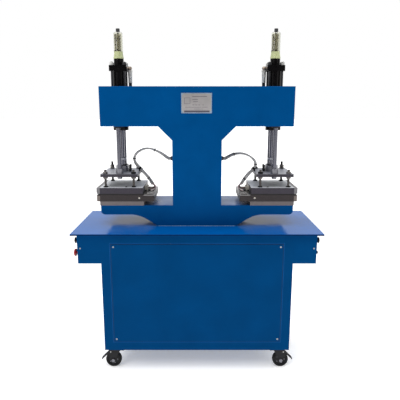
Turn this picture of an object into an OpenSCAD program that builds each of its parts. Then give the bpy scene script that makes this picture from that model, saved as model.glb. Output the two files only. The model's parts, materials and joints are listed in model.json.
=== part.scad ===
// Twin-station heated hydraulic press for badges and fabric emblems.
// A welded box frame with two C-shaped throats stands on a wheeled cabinet.
// Origin: on the floor, under the middle of the table. +X right, +Y back, +Z up.
// Sizes are in millimetres. The press is drawn closed, with both heads down.

/* [Table and cabinet] */
// Height of the working surface above the floor
table_h = 720; // [600:10:860]
// Width of the table top
table_w = 1200; // [1130:10:1440]
// Depth of the table top
table_d = 485; // [404:5:582]
// Thickness of the table top
table_t = 8; // [4:1:16]
// How far the table reaches past the cabinet at the front and the back
table_lip = 25; // [10:1:40]
// How far the table reaches past the control boxes at each end
end_lip = 26; // [24:1:60]
// Sheet thickness of the cabinet and the control boxes
sheet = 2.5; // [1.5:0.5:5]
// Border of cabinet left bare around its front and rear panels
panel_margin = 49.5; // [30:0.5:80]
// Width of one control box
box_w = 111.5; // [80:0.5:134]
// Height of one control box
box_h = 146; // [120:1:176]
// Depth of one control box
box_d = 300; // [250:5:360]

/* [Frame] */
// Depth of the frame from front to rear
frame_d = 243; // [230:1:292]
// Distance of the frame's middle behind the table's middle
frame_y = 28.5; // [0:0.5:40]
// Thickness of the front and rear frame plates
plate_t = 12; // [8:1:14]
// Thickness of the bent web plates
web_t = 10; // [6:1:12]
// Width of the upper beam
beam_w = 930; // [900:5:1116]
// Height of the upper beam
beam_h = 187; // [160:1:224]
// Height of the throat between lower arm and beam
throat_h = 389; // [380:1:466]
// Width of the central column
column_w = 240; // [200:2:288]
// Width and height of the 45 degree corner under the beam
chamfer = 67; // [40:1:80]
// Width across both lower arms
arms_w = 956; // [930:2:1147]
// Height of the lower arms' top above the table
arm_h = 105; // [95:1:126]
// Thickness of a lower arm
arm_t = 46; // [38:1:55]
// Radius where the arm's underside turns down to its foot
flare_r = 150; // [120:5:180]
// Angle of the foot's slope
flare_angle = 31; // [25:1:37]
// Inner end of the arm's straight underside, from the middle
flare_x = 332; // [310:1:360]

/* [Stations] */
// Distance of each station's axis from the middle
station_x = 384.5; // [375:0.5:400]
// Working stroke of each press head
stroke = 100; // [60:5:120]
// Outer diameter of the cylinder barrel
barrel_d = 64; // [58:1:77]
// Gap between a cylinder barrel and a tie nut's corner
tie_gap = 2; // [1:0.5:6]
// From a tie rod's axis to the side of the cylinder cap
cap_edge = 11.5; // [10:0.5:20]
// From the side of the cylinder cap to the pressure hose's axis
hose_reach = 11.5; // [10:0.5:30]
// Bore of the cylinder barrel
bore_d = 50; // [42:1:52]
// Height of the barrel above the beam
barrel_rise = 75; // [62:1:90]
// Diameter of the piston rod
rod_d = 28; // [22:1:32]
// Thickness of the cylinder cap
cap_t = 28; // [22:1:34]
// Diameter of a tie rod
tie_d = 10; // [8:1:11]
// Diameter of a guide rod
guide_d = 20; // [16:1:24]
// Distance of each guide rod before and behind the piston rod
guide_y = 88; // [80:1:89]
// Radial running clearance of the piston, the rods and the wheels
run_gap = 0.05; // [0.02:0.01:0.1]
// Outside diameter of the hydraulic hose
hose_d = 16; // [12:1:18]

/* [Platens] */
// Width of the ram plate
ram_w = 184; // [170:1:220]
// Depth of the ram plate
ram_d = 229; // [225:1:274]
// Thickness of the ram plate
ram_t = 14.5; // [12:0.5:18]
// Width of the heated upper platen
upper_w = 228.5; // [210:0.5:230]
// Depth of both heated platens
platen_d = 241; // [210:1:289]
// Thickness of the heated upper platen
upper_t = 23.7; // [20:0.1:28]
// Thickness of the insulation board on the upper platen
board_t = 6; // [5:0.5:8]
// Width of the heated lower platen
lower_w = 283; // [236:1:290]
// Thickness of the heated lower platen
lower_t = 33; // [27.5:0.5:39.5]
// Thickness of the embossing mould
mould_t = 5.5; // [4.5:0.1:6.6]
// Width of the base plate under the lower platen
base_w = 218; // [180:1:260]
// Thickness of the base plate
base_t = 21; // [17.5:0.5:25]
// Gap between the upper platen's board and the ram plate
stud_gap = 52.8; // [44:0.1:63]
// Diameter of a levelling stud
stud_d = 12; // [10:0.5:14.5]
// Distance of the levelling studs to each side of the axis
stud_x = 70; // [60:1:74]
// Distance of the levelling studs before and behind the axis
stud_y = 97; // [92:1:100]

/* [Casters] */
// Height of a caster from floor to plate
caster_h = 108; // [104:1:129]
// Diameter of a caster wheel
wheel_d = 80; // [67:1:84]
// Width of a caster wheel
wheel_w = 26; // [20:1:32]
// Distance of a swivel axis from the cabinet's side
caster_in_x = 60; // [50:1:72]
// Distance of a swivel axis from the cabinet's front or rear
caster_in_y = 38; // [36:1:60]
// Trail of a caster wheel behind its swivel axis
trail = 24; // [18:1:29]
// Diameter of a caster axle
axle_d = 10; // [8:1:12]

/* [Controls] */
// Distance of the buttons behind the control box's front
button_y = 35; // [28:1:42]
// Depth of the upper buttons below the table
button_z1 = 46; // [36:1:55]
// Depth of the lower buttons below the table
button_z2 = 108; // [90:1:116]
// Travel of a push button
button_travel = 4; // [2:0.5:4.5]

/* [Hidden] */
$fn = 48;

blue = [0.0, 0.29, 0.55];
dark_blue = [0.0, 0.25, 0.45];
black = [0.07, 0.07, 0.08];
steel = [0.72, 0.73, 0.75];
dark_steel = [0.35, 0.36, 0.38];
touch = 0.2;  // clearance of a hole around a fixed piece

// Cabinet
cabinet_w = table_w - 2 * (box_w + end_lip);
cabinet_d = table_d - 2 * table_lip;
cabinet_top = table_h - table_t;
cabinet_h = cabinet_top - caster_h;
cabinet_front = -cabinet_d / 2;
panel_w = cabinet_w - 2 * panel_margin;
panel_h = cabinet_h - 2 * panel_margin;
panel_t = 2;
panel_lap = 20;
panel_z = caster_h + panel_margin;
screw_inset = 12;
box_x = cabinet_w / 2;
box_end = box_x + box_w;
hose_slot_w = 150;
hose_slot_d = 80;

// Frame
frame_front = frame_y - frame_d / 2;
frame_rear = frame_y + frame_d / 2;
arm_top = table_h + arm_h;
arm_bottom = arm_top - arm_t;
beam_z = arm_top + throat_h;
frame_top = beam_z + beam_h;
beam_x = beam_w / 2;
column_x = column_w / 2;
arm_x = arms_w / 2;
corner_r = 20;
flare_end_x = flare_x - flare_r * sin(flare_angle);
flare_end_z = arm_bottom - flare_r * (1 - cos(flare_angle));
foot_x = flare_end_x - (flare_end_z - table_h) / tan(flare_angle);
inner_d = frame_d - 2 * plate_t;
arc_step = 6;

// Station heights, from the lower arm upwards
base_top = arm_top + base_t;
lower_top = base_top + lower_t;
mould_top = lower_top + mould_t;
upper_top = mould_top + upper_t;
board_top = upper_top + board_t;
ram_z = board_top + stud_gap;
ram_top = ram_z + ram_t;
base_outer = station_x + 97;
lower_outer = station_x + 111.5;
upper_outer = station_x + 112.5;
platen_y = frame_y - 0.5;

// Cylinder
lock_nut_h = 23.4;
lock_nut_d = barrel_d + 13;
barrel_z = beam_z - lock_nut_h;
gland_h = 40;
piston_t = 30;
piston_z = barrel_z + gland_h + 4;
barrel_top = frame_top + barrel_rise;
cap_top = barrel_top + cap_t;
tie_nut_h = 14;
tie_nut_af = 17;
tie_pitch = sqrt(2) * (barrel_d / 2 + tie_nut_af / sqrt(3) + tie_gap);
cap_w = tie_pitch + 2 * cap_edge;
hose_x = cap_w / 2 + hose_reach;
boss_d = 48;
boss_h = 32;
collar_h = 34;
cup_d = 44.5;
cup_wall = 3;
cup_h = 91;
cup_z = cap_top + boss_h + collar_h;
port_z = cap_top - 13;
port_d = 14;
elbow_r = 10;
coupling_z = ram_top + 60;
hub_h = 30;
hub_d = 64;
rod_tail_d = 20;
rod_nut_h = 15;
bush_wall = 5;
bush_flange_d = guide_d + 19;
bush_flange_t = 5;
bush_h = 45;
guide_top = frame_top - plate_t - stroke - 5;
guide_tail_d = guide_d - 6;
guide_collar_d = guide_d + 18;
guide_collar_h = 26;
guide_nut_h = 12;
stud_nut_h = 10;
stud_nut_d = stud_d + 9;
stud_sink = 12;
gland_z = table_h + 327;
gland_d = 24;
gland_len = 16;

// Casters
caster_x = cabinet_w / 2 - caster_in_x;
caster_y = cabinet_d / 2 - caster_in_y;
caster_plate_w = 72;
caster_plate_t = 4;
race_h = 8;
crown_t = 5;
crown_z = caster_h - caster_plate_t - race_h - crown_t;
kingpin_d = 10;
fork_t = 4;
fork_gap = 2;
fork_y = wheel_w / 2 + fork_gap;
axle_z = wheel_d / 2;
hub_bore_d = axle_d + 2 * run_gap;
pedal_x = trail + 24;
pedal_z = crown_z - 4;
pedal_pin_d = 6;
pedal_w = 2 * fork_y - 6;
pedal_len = 64;
pedal_angle = 45;

// Controls
button_front = cabinet_front + button_y;
housing_d = 26;
housing_t = 5;
stem_d = 12;
stem_bore_d = stem_d + 2 * run_gap;
instrument_w = 72;
timer_w = 48;

// Pressure hose, right-hand side: from the cap's port through the beam and down the column
hose_route = [
  [station_x - hose_x, frame_y, barrel_top - 20], [station_x - hose_x, frame_y, 1440],
  [station_x - hose_x, frame_y, 1424], [station_x - hose_x, frame_y, 1390],
  [324, frame_y, 1352], [300, frame_y, 1322], [262, frame_y, 1308], [200, frame_y, 1304],
  [130, frame_y, 1298], [80, frame_y, 1276], [48, frame_y, 1230], [36, frame_y, 1160],
  [34, frame_y, 1000], [32, frame_y, 850], [32, frame_y, 740], [32, frame_y, 640]
];
// Return hose from the cylinder's lower port, under and outside the pressure hose
return_port_z = beam_z + 40;
return_route = [
  [station_x - barrel_d / 2 - 18, frame_y, return_port_z],
  [station_x - barrel_d / 2 - 25, frame_y, return_port_z],
  [station_x - barrel_d / 2 - 32, frame_y, return_port_z], [296, frame_y, 1258],
  [256, frame_y, 1262], [200, frame_y, 1258], [150, frame_y, 1244], [108, frame_y, 1212],
  [84, frame_y, 1160], [72, frame_y, 1080], [66, frame_y, 900], [62, frame_y, 760],
  [60, frame_y, 640]
];
// Heater cable, right-hand side: gland, arch, clip at the ram plate, then the terminals
cable_d = 14;
cable_route_left = [
  [136, frame_y, 1047], [141, frame_y, 1047], [146, frame_y, 1047], [159, frame_y, 1056],
  [178, frame_y, 1070],
  [200, frame_y, 1082], [225, frame_y, 1093], [251, frame_y, 1098], [275, frame_y, 1094],
  [296, frame_y, 1084], [312, frame_y, 1070], [321, frame_y, 1052], [320, frame_y, 1034],
  [310, frame_y, 1014], [294, frame_y, 996], [274, frame_y, 974], [256, frame_y, 953],
  [240, frame_y, 931], [228, frame_y, 912]
];
// The right bundle hangs in a lower, tighter loop
cable_route_right = [
  [136, frame_y, 1047], [141, frame_y, 1047], [146, frame_y, 1047], [160, frame_y, 1055],
  [179, frame_y, 1065],
  [202, frame_y, 1071], [227, frame_y, 1072], [251, frame_y, 1067], [273, frame_y, 1056],
  [291, frame_y, 1041], [301, frame_y, 1023], [300, frame_y, 1008], [292, frame_y, 994],
  [279, frame_y, 980], [265, frame_y, 965], [252, frame_y, 949], [240, frame_y, 931],
  [228, frame_y, 912]
];
lead_d = 5;
lead_route = [
  [228, frame_y, 912], [221, frame_y, 901], [222, frame_y, 892], [232, frame_y, 888],
  [242, frame_y, 889], [251.5, frame_y, 890]
];

// ---------- helpers ----------

function unit(v) = v / norm(v);
function normal(v) = [v[1], -v[0]];

// Points of an arc, from angle a to angle b
function arc(cx, cz, r, a, b) =
  let (n = ceil(abs(b - a) / arc_step))
  [for (i = [0:n]) [cx + r * cos(a + (b - a) * i / n), cz + r * sin(a + (b - a) * i / n)]];

// An open path moved sideways by t, with mitred corners
function corner(p, q, r, t) =
  let (u = normal(unit(q - p)), v = normal(unit(r - q)), n = unit(u + v)) q + n * t / (n * u);
function inset(path, t) = let (last = len(path) - 1) concat(
  [path[0] + t * normal(unit(path[1] - path[0]))],
  [for (i = [1:last - 1]) corner(path[i - 1], path[i], path[i + 1], t)],
  [path[last] + t * normal(unit(path[last] - path[last - 1]))]);
function reversed(path) = [for (i = [len(path) - 1:-1:0]) path[i]];
function mirrored(path) = [for (p = path) [-p[0], p[1]]];

// A smooth curve through points, with n steps between neighbours
function between(p, q, r, s, t) =
  0.5 * (2 * q + (r - p) * t + (2 * p - 5 * q + 4 * r - s) * t * t
    + (3 * q - p - 3 * r + s) * t * t * t);
function smooth(path, n) = let (last = len(path) - 1) concat(
  [for (i = [0:last - 1], j = [0:n - 1]) between(path[max(i - 1, 0)], path[i], path[i + 1],
    path[min(i + 2, last)], j / n)], [path[last]]);

// A round tube swept along a path that stays in one X-Z plane
module sweep_tube(path, d, sides = 10) {
  last = len(path) - 1;
  rings = [for (i = [0:last])
    let (dir = unit(path[min(i + 1, last)] - path[max(i - 1, 0)]), side = [0, 1, 0],
      up = cross(dir, side))
    for (k = [0:sides - 1]) path[i]
      + d / 2 * (cos(360 * k / sides) * side + sin(360 * k / sides) * up)];
  walls = [for (i = [0:last - 1], k = [0:sides - 1])
    [i * sides + k, i * sides + (k + 1) % sides, (i + 1) * sides + (k + 1) % sides,
      (i + 1) * sides + k]];
  first_face = [for (k = [sides - 1:-1:0]) k];
  last_face = [for (k = [0:sides - 1]) last * sides + k];
  polyhedron(rings, concat(walls, [first_face, last_face]));
}

module both_sides() {
  children();
  mirror([1, 0, 0]) children();
}

module on_side(side) {
  if (side < 0) mirror([1, 0, 0]) children();
  else children();
}

module pole(x, y, z, h, d) {
  translate([x, y, z]) cylinder(d = d, h = h);
}

module hex(x, y, z, h, flats) {
  translate([x, y, z]) cylinder(d = flats / cos(30), h = h, $fn = 6);
}

// A box given by its lowest corner and size
module block(at, size) {
  translate(at) cube(size);
}

// A bar along X from x0 to x1
module bar_x(x0, x1, y, z, d) {
  translate([x0, y, z]) rotate([0, 90, 0]) cylinder(d = d, h = x1 - x0);
}

// A bar along Y from y0 to y1
module bar_y(y0, y1, x, z, d) {
  translate([x, y1, z]) rotate([90, 0, 0]) cylinder(d = d, h = y1 - y0);
}

// ---------- table and cabinet ----------

module table_top() {
  color(blue) difference() {
    block([-table_w / 2, -table_d / 2, cabinet_top], [table_w, table_d, table_t]);
    block([-hose_slot_w / 2, frame_y - hose_slot_d / 2, cabinet_top - 1],
      [hose_slot_w, hose_slot_d, table_t + 2]);
  }
}

module cabinet_shell() {
  opening_w = panel_w - 2 * panel_lap;
  opening_h = panel_h - 2 * panel_lap;
  color(dark_blue) difference() {
    block([-cabinet_w / 2, cabinet_front, caster_h], [cabinet_w, cabinet_d, cabinet_h]);
    block([-cabinet_w / 2 + sheet, cabinet_front + sheet, caster_h + sheet],
      [cabinet_w - 2 * sheet, cabinet_d - 2 * sheet, cabinet_h]);
    block([-opening_w / 2, -cabinet_d, panel_z + panel_lap], [opening_w, 2 * cabinet_d, opening_h]);
    for (side = [-1, 1], y = [-1, 1]) panel_holes(side, y);
  }
}

module panel_holes(side, y) {
  for (z = [panel_z + screw_inset, panel_z + panel_h - screw_inset])
    bar_y(-cabinet_d, cabinet_d, side * (panel_w / 2 - screw_inset), z, 4 + touch);
}

module cabinet_panel(y) {
  color(dark_blue) difference() {
    block([-panel_w / 2, y, panel_z], [panel_w, panel_t, panel_h]);
    for (side = [-1, 1]) panel_holes(side, 1);
  }
}

module cabinet_front_panel() {
  cabinet_panel(cabinet_front - panel_t);
}

module cabinet_rear_panel() {
  color(dark_blue) difference() {
    cabinet_panel(-cabinet_front);
    for (row = [0:4], col = [-4:4])
      block([col * 34 - 12, -cabinet_front - 1, panel_z + panel_h - 150 + row * 20],
        [24, panel_t + 2, 6]);
  }
}

module panel_screws() {
  color(steel) for (x = [-1, 1], z = [panel_z + screw_inset, panel_z + panel_h - screw_inset])
    for (y = [-1, 1]) translate([x * (panel_w / 2 - screw_inset), 0, z])
      rotate([-90 * y, 0, 0]) translate([0, 0, -cabinet_front + panel_t]) {
        cylinder(d = 8, h = 2.5);
        translate([0, 0, -8]) cylinder(d = 4, h = 8);
      }
}

module control_box() {
  y = cabinet_front;
  color(blue) difference() {
    block([box_x, y, cabinet_top - box_h], [box_w, box_d, box_h]);
    block([box_x - 1, y + sheet, cabinet_top - box_h + sheet],
      [box_w - sheet + 1, box_d - 2 * sheet, box_h - 2 * sheet]);
    for (z = [button_z1, button_z2])
      bar_x(box_end - sheet - 1, box_end + 1, button_front, table_h - z, stem_d + 6 + touch);
    block([box_end - 10, instrument_y(), table_h - 113], [20, instrument_w - 6, instrument_w - 6]);
    block([box_end - 10, instrument_y() + 90, table_h - 101], [20, timer_w - 6, timer_w - 6]);
  }
}

function instrument_y() = button_front + 60;

module button_housings() {
  color(black) both_sides() for (z = [button_z1, button_z2]) difference() {
    union() {
      bar_x(box_end, box_end + housing_t, button_front, table_h - z, housing_d);
      bar_x(box_end - 34, box_end, button_front, table_h - z, stem_d + 6);
    }
    bar_x(box_end - 28, box_end + housing_t + 1, button_front, table_h - z, stem_bore_d);
  }
}

module instrument(y, z, w) {
  block([box_end, y - 3, z - 3], [5, w, w]);
  block([box_end - 60, y, z], [60, w - 6, w - 6]);
}

module panel_instruments() {
  color(black) both_sides() {
    instrument(instrument_y(), table_h - 113, instrument_w);
    instrument(instrument_y() + 90, table_h - 101, timer_w);
  }
}

// A mushroom or flat push button; its stem slides in the housing
module push_button(z, head_d, head_x, head_t) {
  face = box_end + housing_t;
  bar_x(box_end - 18, face + head_x + head_t, button_front, table_h - z, stem_d);
  bar_x(face + head_x, face + head_x + head_t, button_front, table_h - z, head_d);
}

module start_button_left() {
  color(black) on_side(-1) push_button(button_z1, 30, 6, 8);
}

module emergency_stop() {
  color("firebrick") on_side(-1) push_button(button_z2, 37, 8, 11);
}

module start_button_right() {
  color(black) push_button(button_z1, 30, 6, 8);
}

module stop_button() {
  color("red") push_button(button_z2, 16, button_travel + 1, 4);
}

// ---------- frame ----------

// Outline of the frame's right half, from the beam's top to the foot
function frame_path(top) = concat(
  [[beam_x, top], [beam_x, beam_z], [column_x + chamfer, beam_z], [column_x, beam_z - chamfer],
    [column_x, arm_top], [arm_x, arm_top]],
  arc(arm_x - corner_r, arm_bottom + corner_r, corner_r, 0, -90),
  arc(flare_x, arm_bottom - flare_r, flare_r, 90, 90 + flare_angle),
  [[foot_x, table_h]]);

module frame_plate(y) {
  color(blue) translate([0, y + plate_t, 0]) rotate([90, 0, 0]) linear_extrude(plate_t)
    polygon(concat(frame_path(frame_top), reversed(mirrored(frame_path(frame_top)))));
}

module frame_front_plate() {
  frame_plate(frame_front);
}

module frame_rear_plate() {
  frame_plate(frame_rear - plate_t);
}

module beam_bores() {
  pole(station_x, frame_y, beam_z - 1, beam_h + 2, barrel_d);
  for (y = [-guide_y, guide_y])
    pole(station_x, frame_y + y, beam_z - 1, web_t + 2, guide_d + 2 * bush_wall);
  pole(station_x - hose_x, frame_y, frame_top - plate_t - 1, plate_t + 2, hose_d + 3);
  for (x = [-1, 1], y = [-1, 1])
    pole(station_x + x * tie_pitch / 2, frame_y + y * tie_pitch / 2, frame_top - plate_t - 1,
      plate_t + 2, tie_d);
}

module frame_webs() {
  path = frame_path(frame_top - plate_t);
  color(blue) {
    both_sides() difference() {
      translate([0, frame_rear - plate_t, 0]) rotate([90, 0, 0]) linear_extrude(inner_d)
        polygon(concat(path, reversed(inset(path, web_t))));
      beam_bores();
      bar_x(column_x - web_t - 1, column_x + 1, frame_y, gland_z, gland_d - 8);
    }
    difference() {
      block([-beam_x, frame_front + plate_t, frame_top - plate_t], [beam_w, inner_d, plate_t]);
      both_sides() beam_bores();
    }
  }
}

module nameplate() {
  plate_w = 146;
  plate_h = 95;
  color(steel) block([-plate_w / 2 - 2, frame_front - 1.5, frame_top - 30 - plate_h],
    [plate_w, 1.5, plate_h]);
}

// ---------- hydraulics and electrics in the cabinet ----------

tank_w = 300;
tank_h = 230;
tank_x = -cabinet_w / 2 + 70;
tank_y = cabinet_front + 50;
tank_d = cabinet_d - 100;
tank_z = caster_h + sheet;
tank_top = tank_z + tank_h;
motor_d = 150;
motor_h = 200;
motor_x = tank_x + 95;
motor_y = tank_y + tank_d / 2;
valve_x = -75;
valve_w = 150;
valve_z = cabinet_top - 132;
shaft_d = 16;

module oil_tank() {
  tank_wall = 3;
  color(dark_blue) {
    difference() {
      block([tank_x, tank_y, tank_z], [tank_w, tank_d, tank_h]);
      block([tank_x + tank_wall, tank_y + tank_wall, tank_z + tank_wall],
        [tank_w - 2 * tank_wall, tank_d - 2 * tank_wall, tank_h]);
    }
    difference() {
      block([tank_x - 5, tank_y - 5, tank_top], [tank_w + 10, tank_d + 10, 5]);
      pole(motor_x, motor_y, tank_top - 1, 7, shaft_d + 8);
    }
    pole(tank_x + tank_w - 40, tank_y + 40, tank_top + 5, 40, 46);
  }
}

module pump_motor() {
  flange_z = tank_top + 5;
  color(dark_steel) difference() {
    union() {
      pole(motor_x, motor_y, flange_z, 12, motor_d + 20);
      pole(motor_x, motor_y, flange_z + 12, motor_h - 42, motor_d);
      pole(motor_x, motor_y, flange_z + motor_h - 30, 30, motor_d - 10);
      block([motor_x + motor_d / 2 - 8, motor_y - 40, flange_z + 70], [40, 80, 60]);
    }
    pole(motor_x, motor_y, flange_z - 1, 51, shaft_d);
  }
}

module gear_pump() {
  pump_h = 110;
  pump_w = 90;
  color(steel) {
    difference() {
      block([motor_x - pump_w / 2, motor_y - pump_w / 2, tank_top - pump_h],
        [pump_w, pump_w, pump_h]);
      pole(motor_x, motor_y, tank_top - 60, 61, shaft_d + 8);
    }
    pole(motor_x, motor_y, tank_top - 60, 115, shaft_d);
    pole(motor_x, motor_y, tank_z + 30, tank_h - pump_h - 30, 26);
  }
}

module valve_block() {
  coil_d = 46;
  bracket_h = valve_z - tank_z;
  color(steel) {
    difference() {
      block([valve_x, frame_y - 45, valve_z], [valve_w, 90, 60]);
      for (x = [-60, -32, 32, 60]) pole(x, frame_y, valve_z + 30, 31, 10);
    }
    for (x = [valve_x + 10, valve_x + valve_w - 30])
      block([x, frame_y - 30, tank_z], [20, 60, bracket_h]);
  }
  color(black) for (x = [-42, 42]) {
    block([x - 24, frame_y - 115, valve_z + 5], [48, 70, 50]);
    bar_y(frame_y - 165, frame_y - 115, x, valve_z + 30, coil_d);
  }
}

module contactor_panel() {
  board_x = cabinet_w / 2 - sheet - 40;
  color("gainsboro") block([board_x, -150, caster_h + 120], [4, 300, 320]);
  color(dark_steel) for (y = [-140, 130])
    block([board_x + 4, y, caster_h + 140], [36, 12, 280]);
  color(black) {
    for (i = [0:2]) block([board_x - 72, -130 + i * 64, caster_h + 330], [72, 46, 84]);
    for (i = [0:3]) block([board_x - 60, -130 + i * 52, caster_h + 220], [60, 36, 70]);
    block([board_x - 40, -130, caster_h + 150], [40, 250, 30]);
  }
}

// ---------- cylinders ----------

module cylinder_barrels() {
  color(black) both_sides() difference() {
    pole(station_x, frame_y, barrel_z, barrel_top - barrel_z, barrel_d);
    pole(station_x, frame_y, barrel_z + gland_h, barrel_top - barrel_z, bore_d);
    pole(station_x, frame_y, barrel_z - 1, gland_h + 2, rod_d + 2 * run_gap);
    bar_x(station_x - barrel_d, station_x, frame_y, return_port_z, 8);
  }
}

module cylinder_caps() {
  color(black) both_sides() difference() {
    union() {
      block([station_x - cap_w / 2, frame_y - cap_w / 2, barrel_top], [cap_w, cap_w, cap_t]);
      pole(station_x, frame_y, cap_top, boss_h, boss_d);
    }
    for (x = [-1, 1], y = [-1, 1])
      pole(station_x + x * tie_pitch / 2, frame_y + y * tie_pitch / 2, barrel_top - 1, cap_t + 2,
        tie_d);
    bar_x(station_x - cap_w, station_x, frame_y, port_z, 10);
    pole(station_x, frame_y, barrel_top - 1, cap_t + boss_h + 2, 10);
  }
}

module cylinder_lock_nuts() {
  color(black) both_sides() difference() {
    pole(station_x, frame_y, barrel_z, lock_nut_h, lock_nut_d);
    pole(station_x, frame_y, barrel_z - 1, lock_nut_h + 2, barrel_d);
    for (a = [45:90:315]) translate([station_x, frame_y, barrel_z - 1]) rotate([0, 0, a])
      block([lock_nut_d / 2 - 3, -4, 0], [6, 8, lock_nut_h + 2]);
  }
}

module cylinder_tie_rods() {
  bottom = frame_top - plate_t - tie_nut_h - 4;
  color(steel) both_sides() for (x = [-1, 1], y = [-1, 1])
    translate([station_x + x * tie_pitch / 2, frame_y + y * tie_pitch / 2, 0]) {
      pole(0, 0, bottom, cap_top + tie_nut_h + 4 - bottom, tie_d);
      hex(0, 0, cap_top, tie_nut_h, tie_nut_af);
      hex(0, 0, frame_top - plate_t - tie_nut_h, tie_nut_h, tie_nut_af);
    }
}

module port_elbows() {
  color([0.55, 0.49, 0.44]) both_sides() {
    x = station_x - hose_x;
    difference() {
      union() {
        bar_x(x, station_x - cap_w / 2, frame_y, port_z, port_d);
        translate([x, frame_y, port_z]) sphere(r = elbow_r);
        pole(x, frame_y, port_z - 14, 14, port_d);
        hex(x, frame_y, port_z - 18, 9, 20);
        pole(x, frame_y, barrel_top - 20, port_z - 18 - barrel_top + 20, hose_d + 4);
      }
      pole(x, frame_y, barrel_top - 21, port_z - barrel_top + 21, 8);
    }
    bar_x(station_x - barrel_d / 2 - 18, station_x - barrel_d / 2, frame_y, return_port_z, port_d);
  }
}

module hydraulic_hoses() {
  color(black) both_sides() {
    sweep_tube(smooth(hose_route, 4), hose_d);
    sweep_tube(smooth(return_route, 4), hose_d - 2);
  }
}

module oil_cup_fittings() {
  z = cap_top + boss_h;
  color([0.87, 0.9, 0.7]) both_sides_same() translate([station_x, frame_y, z])
    rotate_extrude() polygon([[0, 0], [25, 0], [25, 8], [21.5, collar_h - 4],
      [cup_d / 2, collar_h - 2], [cup_d / 2, collar_h], [0, collar_h]]);
  color(dark_steel) both_sides_same() {
    pole(station_x - 3, frame_y, cup_z, 60, 30);
    pole(station_x - 3, frame_y, cup_z + 60, 20, 31);
    pole(station_x, frame_y, cup_z + cup_h, 16, 19);
  }
}

// Both stations get the same piece turned the same way, not mirrored
module both_sides_same() {
  children();
  translate([-2 * station_x, 0, 0]) children();
}

module oil_cup_tubes() {
  r = cup_d / 2;
  shoulder = 10;
  inner = r - cup_wall;
  color([0.8, 0.85, 0.85, 0.4]) both_sides() translate([station_x, frame_y, cup_z])
    rotate_extrude() polygon(concat(
      [[inner, 0], [r, 0]], arc(r - shoulder, cup_h - shoulder, shoulder, 0, 90),
      [[5, cup_h], [5, cup_h - cup_wall]],
      arc(r - shoulder, cup_h - shoulder, shoulder - cup_wall, 90, 0)));
}

module guide_bushings() {
  color([0.6, 0.5, 0.3]) both_sides() for (y = [-guide_y, guide_y]) difference() {
    union() {
      pole(station_x, frame_y + y, beam_z - bush_flange_t, bush_flange_t, bush_flange_d);
      pole(station_x, frame_y + y, beam_z, bush_h, guide_d + 2 * bush_wall);
    }
    pole(station_x, frame_y + y, beam_z - bush_flange_t - 1, bush_flange_t + bush_h + 2,
      guide_d + 2 * run_gap);
  }
}

// ---------- platens ----------

// A plate with its outer edge at x = outer
module slab(outer, w, d, z, t) {
  block([outer - w, platen_y - d / 2, z], [w, d, t]);
}

module base_plates() {
  color([0.59, 0.54, 0.51]) both_sides() slab(base_outer, base_w, platen_d, arm_top, base_t);
}

module lower_platens() {
  ledge_x = lower_outer - lower_w;
  color([0.3, 0.28, 0.27]) both_sides() {
    slab(lower_outer, lower_w, platen_d, base_top, lower_t);
    block([ledge_x + 2, platen_y - platen_d / 2 + 14, lower_top], [34, 12, 8]);
  }
}

module embossing_moulds() {
  color(black) both_sides() slab(base_outer, base_w - 2, platen_d - 4, lower_top, mould_t);
}

module cable_glands() {
  color(black) both_sides() difference() {
    union() {
      bar_x(column_x, column_x + gland_len - 4, frame_y, gland_z, gland_d);
      bar_x(column_x, column_x + gland_len, frame_y, gland_z, gland_d - 5);
      bar_x(column_x - web_t - 6, column_x, frame_y, gland_z, gland_d - 8);
    }
    bar_x(column_x - web_t - 7, column_x + gland_len + 1, frame_y, gland_z, cable_d - 2);
  }
}

// ---------- press heads, drawn for the right-hand side ----------

module piston_rod() {
  color(steel) {
    pole(station_x, frame_y, piston_z, piston_t, bore_d - 2 * run_gap);
    pole(station_x, frame_y, ram_top, piston_z - ram_top, rod_d);
    pole(station_x, frame_y, coupling_z, 10, rod_d + 18);
    pole(station_x, frame_y, ram_top, hub_h, hub_d);
    pole(station_x, frame_y, ram_z - rod_nut_h, ram_t + rod_nut_h, rod_tail_d);
    hex(station_x, frame_y, ram_z - rod_nut_h, rod_nut_h, 30);
  }
}

module guide_rods() {
  color(steel) for (y = [-guide_y, guide_y]) {
    pole(station_x, frame_y + y, ram_top, guide_top - ram_top, guide_d);
    pole(station_x, frame_y + y, ram_top, guide_collar_h, guide_collar_d);
    pole(station_x, frame_y + y, ram_z - guide_nut_h, ram_t + guide_nut_h, guide_tail_d);
    hex(station_x, frame_y + y, ram_z - guide_nut_h, guide_nut_h, 22);
  }
}

module ram_plate() {
  color(steel) difference() {
    block([station_x - ram_w / 2, frame_y - ram_d / 2, ram_z], [ram_w, ram_d, ram_t]);
    pole(station_x, frame_y, ram_z - 1, ram_t + 2, rod_tail_d);
    for (y = [-guide_y, guide_y])
      pole(station_x, frame_y + y, ram_z - 1, ram_t + 2, guide_tail_d);
    stud_places() pole(0, 0, ram_z - 1, ram_t + 2, stud_d + 2 * touch);
  }
}

module stud_places() {
  for (x = [-stud_x, stud_x], y = [-stud_y, stud_y])
    translate([station_x + x, frame_y + y, 0]) children();
}

module levelling_studs() {
  bottom = upper_top - stud_sink;
  color(dark_steel) {
    stud_places() {
      pole(0, 0, bottom, ram_top + 2 * stud_nut_h - bottom, stud_d);
      hex(0, 0, board_top, 6, stud_nut_d);
      hex(0, 0, ram_z - stud_nut_h, stud_nut_h, stud_nut_d);
      hex(0, 0, ram_top, stud_nut_h, stud_nut_d);
    }
    translate([station_x + stud_x, frame_y + stud_y, 0]) {
      pole(0, 0, ram_top + 2 * stud_nut_h, 18, stud_d);
      hex(0, 0, ram_top + stud_nut_h, stud_nut_h, stud_nut_d);
    }
  }
}

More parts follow.
